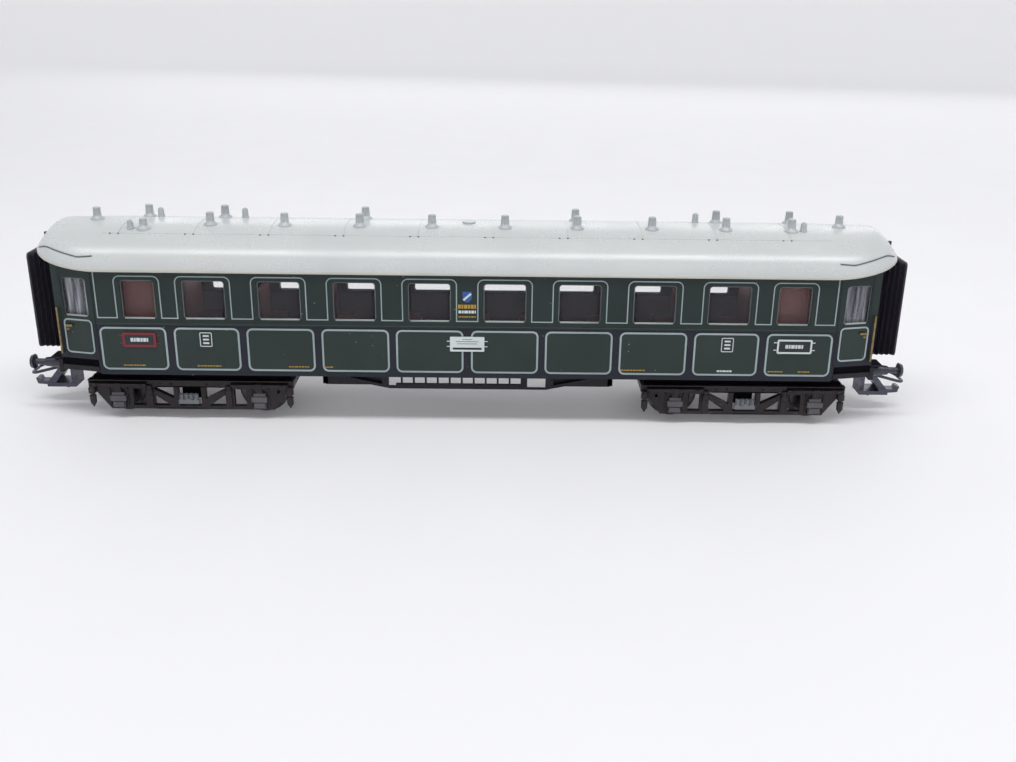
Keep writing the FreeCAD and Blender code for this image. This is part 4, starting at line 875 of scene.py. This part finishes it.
def make_bogie_detail(label):
    """Ledge, shaped hangers, posts and bolt heads on both sides of a bogie, with black strips, plates and
    blocks as painted shade under the ledge and behind the springs.
    """
    body = f"bogie_{label}"
    low, high = box_mm(f"bogie_side_near_{label}")
    box_low, box_high = box_mm(f"axleboxes_{label}")
    middle = (box_low[0] + box_high[0]) / 2
    axle = (box_high[0] - box_low[0]) / 2 - 2.0
    face = -low[1]
    top = high[2]
    ledge = Shape()
    bolts = Shape()
    painted_shade_strips = Shape()
    for side in (-1, 1):
        def slab(shape, x0, x1, proud, z0, z1):
            xs = sorted((x0, x1))
            ys = sorted((side * (face - 0.2), side * (face + proud)))
            shape.slab((xs[0], ys[0], z0), (xs[1], ys[1], z1))

        slab(ledge, low[0], high[0], 0.35, top - 0.35, top)
        slab(ledge, middle - 8.8, middle + 8.8, 0.22, low[2], low[2] + 0.28)
        # Black plate inside each frame, from under the ledge to above the beam: painted shade.
        ys = sorted((side * (face - 1.9), side * (face - 1.55)))
        painted_shade_strips.slab((low[0] + 1.0, ys[0], top - 1.6), (high[0] - 1.0, ys[1], top + 0.75))
        # Black strip under the middle of the ledge: painted shadow.
        slab(painted_shade_strips, middle - 8.6, middle + 8.6, 0.04, top - 2.05, top - 1.75)
        # Black block behind the wound springs: painted shade.
        ys = sorted((side * (face - 3.0), side * (face - 1.9)))
        painted_shade_strips.slab((middle - 2.4, ys[0], top - 5.6), (middle + 2.4, ys[1], top - 1.6))
        for way in (-1, 1):
            post = middle + way * 10.4
            slab(ledge, post - 0.75, post + 0.75, 0.4, low[2] + 0.3, top - 3.7)
            ledge.turned((post, side * (face + 0.1)),
                         ((0.5, top - 4.1, False), (0.95, top - 3.8, False), (1.0, top - 2.7, False),
                          (0.75, top - 2.3, False), (0.75, top - 1.4, False)), sides=16)
            centre = middle + way * axle
            # Black strip under the ledge over each axlebox: painted shadow.
            slab(painted_shade_strips, centre - 7.6, centre + 7.6, 0.05, top - 0.8, top - 0.5)
            slab(ledge, centre - 0.8, centre + 0.8, 1.1, top - 2.9, top - 0.7)
            slab(ledge, centre + way * 2.2, centre + way * 2.6, 0.3, low[2] + 0.9, top - 2.2)
            slab(ledge, centre - way * 2.4, centre - way * 2.0, 0.3, low[2] + 0.9, top - 2.2)
            for x in (centre - 5.9, centre + 5.9):
                bolt(bolts, x, side * (face + 0.85), top - 1.35, side, 0.5)
            for x in (centre - 1.5, centre, centre + 1.5, post):
                bolt(bolts, x, side * (face + 0.2), low[2] + 0.5, side, 0.24)
            bolt(bolts, middle + way * 4.7, side * face, top - 1.25, side)
            bolt(bolts, middle + way * 7.6, side * face, top - 1.25, side)
    ledge.piece(f"bogie_ledges_{label}", "bogie_black", body=body, soft=0.08)
    bolts.piece(f"bogie_bolts_{label}", "bogie_black", body=body)
    # These black strips, plates and blocks are painted shade.
    painted_shade_strips.piece(f"bogie_joints_{label}", "bogie_black", body=body, finish=SHADE_BLACK)
    hangers = Shape()
    for hanger_low, hanger_high in clusters(f"brake_hangers_{label}", gap=1.5):
        x = (hanger_low[0] + hanger_high[0]) / 2
        tip = hanger_low[2]
        neck = hanger_high[2]
        for side in (-1, 1):
            hangers.turned((x, side * (hanger_high[1] - 0.45)),
                           ((0.12, tip, False), (0.5, tip + 0.7, False), (0.85, tip + 1.3, False),
                            (0.88, neck - 2.7, False), (0.6, neck - 2.5, False), (0.6, neck - 2.2, False),
                            (1.0, neck - 2.0, False), (1.0, neck - 0.7, False), (0.7, neck - 0.3, False),
                            (0.7, neck, False)), sides=20)
    row = hangers.piece(f"turned_hangers_{label}", "bogie_black", body=body)
    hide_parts(f"brake_hangers_{label}")


def bolt(shape, x, y, z, side, radius=0.34):
    """Round bolt head on a face that looks sideways."""
    rings = []
    for out, share in ((-0.1, 1.0), (0.16, 1.0), (0.27, 0.72), (0.31, 0.25)):
        rings.append([(x + radius * share * math.cos(a), y + side * out, z + radius * share * math.sin(a))
                      for a in angles(10)])
    shape.loft(rings)


def make_door_knobs():
    """Small round knobs under the door handles."""
    place = 102.6
    height = 24.8
    shape = Shape()
    for side in (-1, 1):
        for end in (-1, 1):
            x = end * place
            bolt(shape, x, side * wall_face(x), height, side, 0.42)
    shape.piece("door_knobs", "brass_trim")


def make_box_ribs():
    """Upright ribs on the equipment boxes under the floor."""
    count = 11
    shape = Shape()
    for low, high in clusters("equipment_boxes", gap=2.0):
        for x in spread(low[0] + 0.5, high[0] - 0.5, count):
            for side in (-1, 1):
                ys = sorted((side * (high[1] - 0.2), side * (high[1] + 0.22)))
                shape.slab((x - 0.22, ys[0], low[2] + 0.25), (x + 0.22, ys[1], high[2] - 0.1))
    shape.piece("equipment_box_ribs", "chassis_black", soft=0.06)


def make_inside_liners():
    """Dark sheets inside the walls below the panes, and black sheets in the step recesses as painted shade.
    """
    shape = Shape()
    recess = Shape()
    low, high = box_mm("glazing_near")
    sheet_out = 15.32
    sheet_in = 15.1
    sheet_low = 18.2
    recess_start = 95.3
    recess_stop = 105.2
    recess_middle = 15.95
    for side in (-1, 1):
        ys = sorted((side * sheet_out, side * sheet_in))
        shape.slab((low[0], ys[0], sheet_low), (high[0], ys[1], low[2] - 0.1))
        for end in (-1, 1):
            # Black sheet in each step recess: painted shade.
            xs = sorted((end * recess_start, end * recess_stop))
            ribbon(recess, side, [(xs[0], recess_middle), (xs[1], recess_middle)], 1.8, -0.45, -0.3,
                   closed=False)
    shape.piece("wall_liners", "interior_brown", finish=LINER_PLASTIC)
    recess.piece("step_recess_painted_shade", "body_green", finish=SHADE_BLACK)


# ---------------------------------------------------------------- stage


def stage_mesh(name, points, faces, material):
    """Smooth mesh that belongs to the studio, not to the coach."""
    mesh = bpy.data.meshes.new(name)
    mesh.from_pydata(points, [], faces)
    for face in mesh.polygons:
        face.use_smooth = True
    item = bpy.data.objects.new(name, mesh)
    bpy.context.scene.collection.objects.link(item)
    mesh.materials.append(material)


def make_stage():
    """Pale floor that curves up into a backdrop all round."""
    paint = Paint("pale_floor", Base_Color=linear(230, 230, 232), Emission_Color=(0.98, 0.98, 1.0, 1))
    paint.feed(paint.shader.inputs["Roughness"], paint.range(paint.noise(30, 2), 0.3, 0.7, 0.55, 0.7))
    away = paint.node("ShaderNodeVectorMath", operation="LENGTH")
    split = paint.node("ShaderNodeVectorMath", operation="MAXIMUM")
    paint.feed(split.inputs[0], paint.place)
    split.inputs[1].default_value = (-0.4, -0.4, -0.4)
    paint.feed(away.inputs[0], split.outputs["Vector"])
    # The floor glows faintly in the middle and more towards the backdrop: painted light.
    paint.feed(paint.shader.inputs["Emission Strength"],
               paint.range(away.outputs["Value"], 0.4, 1.9, 0.10, 0.27))
    rings = [(0.0, 0.0), (0.8, 0.0), (1.5, 0.0)]
    rings += [(1.5 + 0.6 * math.sin(a), 0.6 - 0.6 * math.cos(a)) for a in spread(0.1, math.pi / 2, 10)]
    rings.append((2.1, 2.2))
    count = 64
    points = [(r * math.cos(a), r * math.sin(a), z) for r, z in rings[1:] for a in angles(count)]
    points.append((0, 0, 0))
    hub = len(points) - 1
    faces = [[hub, i, (i + 1) % count] for i in range(count)]
    for r in range(len(rings) - 2):
        for i in range(count):
            j = (i + 1) % count
            faces.append([r * count + i, (r + 1) * count + i, (r + 1) * count + j, r * count + j])
    stage_mesh("floor_and_backdrop", points, faces, paint.material)


def area_light(name, place, target, size, power, colour=(1, 1, 1)):
    data = bpy.data.lights.new(name, "AREA")
    data.shape = "RECTANGLE"
    data.size, data.size_y = size
    data.energy = power
    data.color = colour
    lamp = bpy.data.objects.new(name, data)
    bpy.context.scene.collection.objects.link(lamp)
    lamp.location = place
    lamp.rotation_euler = (Vector(target) - Vector(place)).to_track_quat("-Z", "Y").to_euler()


def make_lights():
    area_light("ceiling", (0.0, 0.5, 2.3), (0, 0.3, 0), (3.2, 2.4), 8.2)
    area_light("crown_strip", (0.0, -0.36, 1.0), (0, 0, 0.04), (1.5, 0.22), 8.2)
    area_light("back_fill", (0.2, 1.0, 0.35), (0, 0, 0.0), (1.4, 0.3), 1.2)
    world = bpy.data.worlds.new("studio")
    world.use_nodes = True
    world.node_tree.nodes["Background"].inputs["Color"].default_value = (0.95, 0.97, 1.0, 1)
    world.node_tree.nodes["Background"].inputs["Strength"].default_value = 0.11
    bpy.context.scene.world = world
    bpy.context.scene.view_settings.view_transform = "Standard"


def make_camera():
    data = bpy.data.cameras.new("camera")
    data.sensor_width = 36
    data.lens = 37.9
    data.clip_start = 0.01
    camera = bpy.data.objects.new("camera", data)
    bpy.context.scene.collection.objects.link(camera)
    camera.location = (0.0084, -0.2773, 0.1083)
    camera.rotation_euler = [math.radians(a) for a in (69.834, -0.706, -0.220)]
    bpy.context.scene.camera = camera


# ---------------------------------------------------------------- the whole scene

finish_cad_nodes()
make_roof()
make_gutter()
make_roof_sheets()
make_rain_strips()
make_ventilators()
for side_label, side_way in SIDES:
    make_panels(side_label, side_way)
    make_meander(side_label, side_way)
    make_belt(side_label, side_way)
    make_window_edge_glints(side_label, side_way)
    make_plates(side_label, side_way)
    make_marks(side_label, side_way)
make_bellows()
for end_label, _ in ENDS:
    make_coils(end_label)
    make_bogie_detail(end_label)
make_door_knobs()
make_box_ribs()
make_inside_liners()
make_stage()
make_lights()
make_camera()
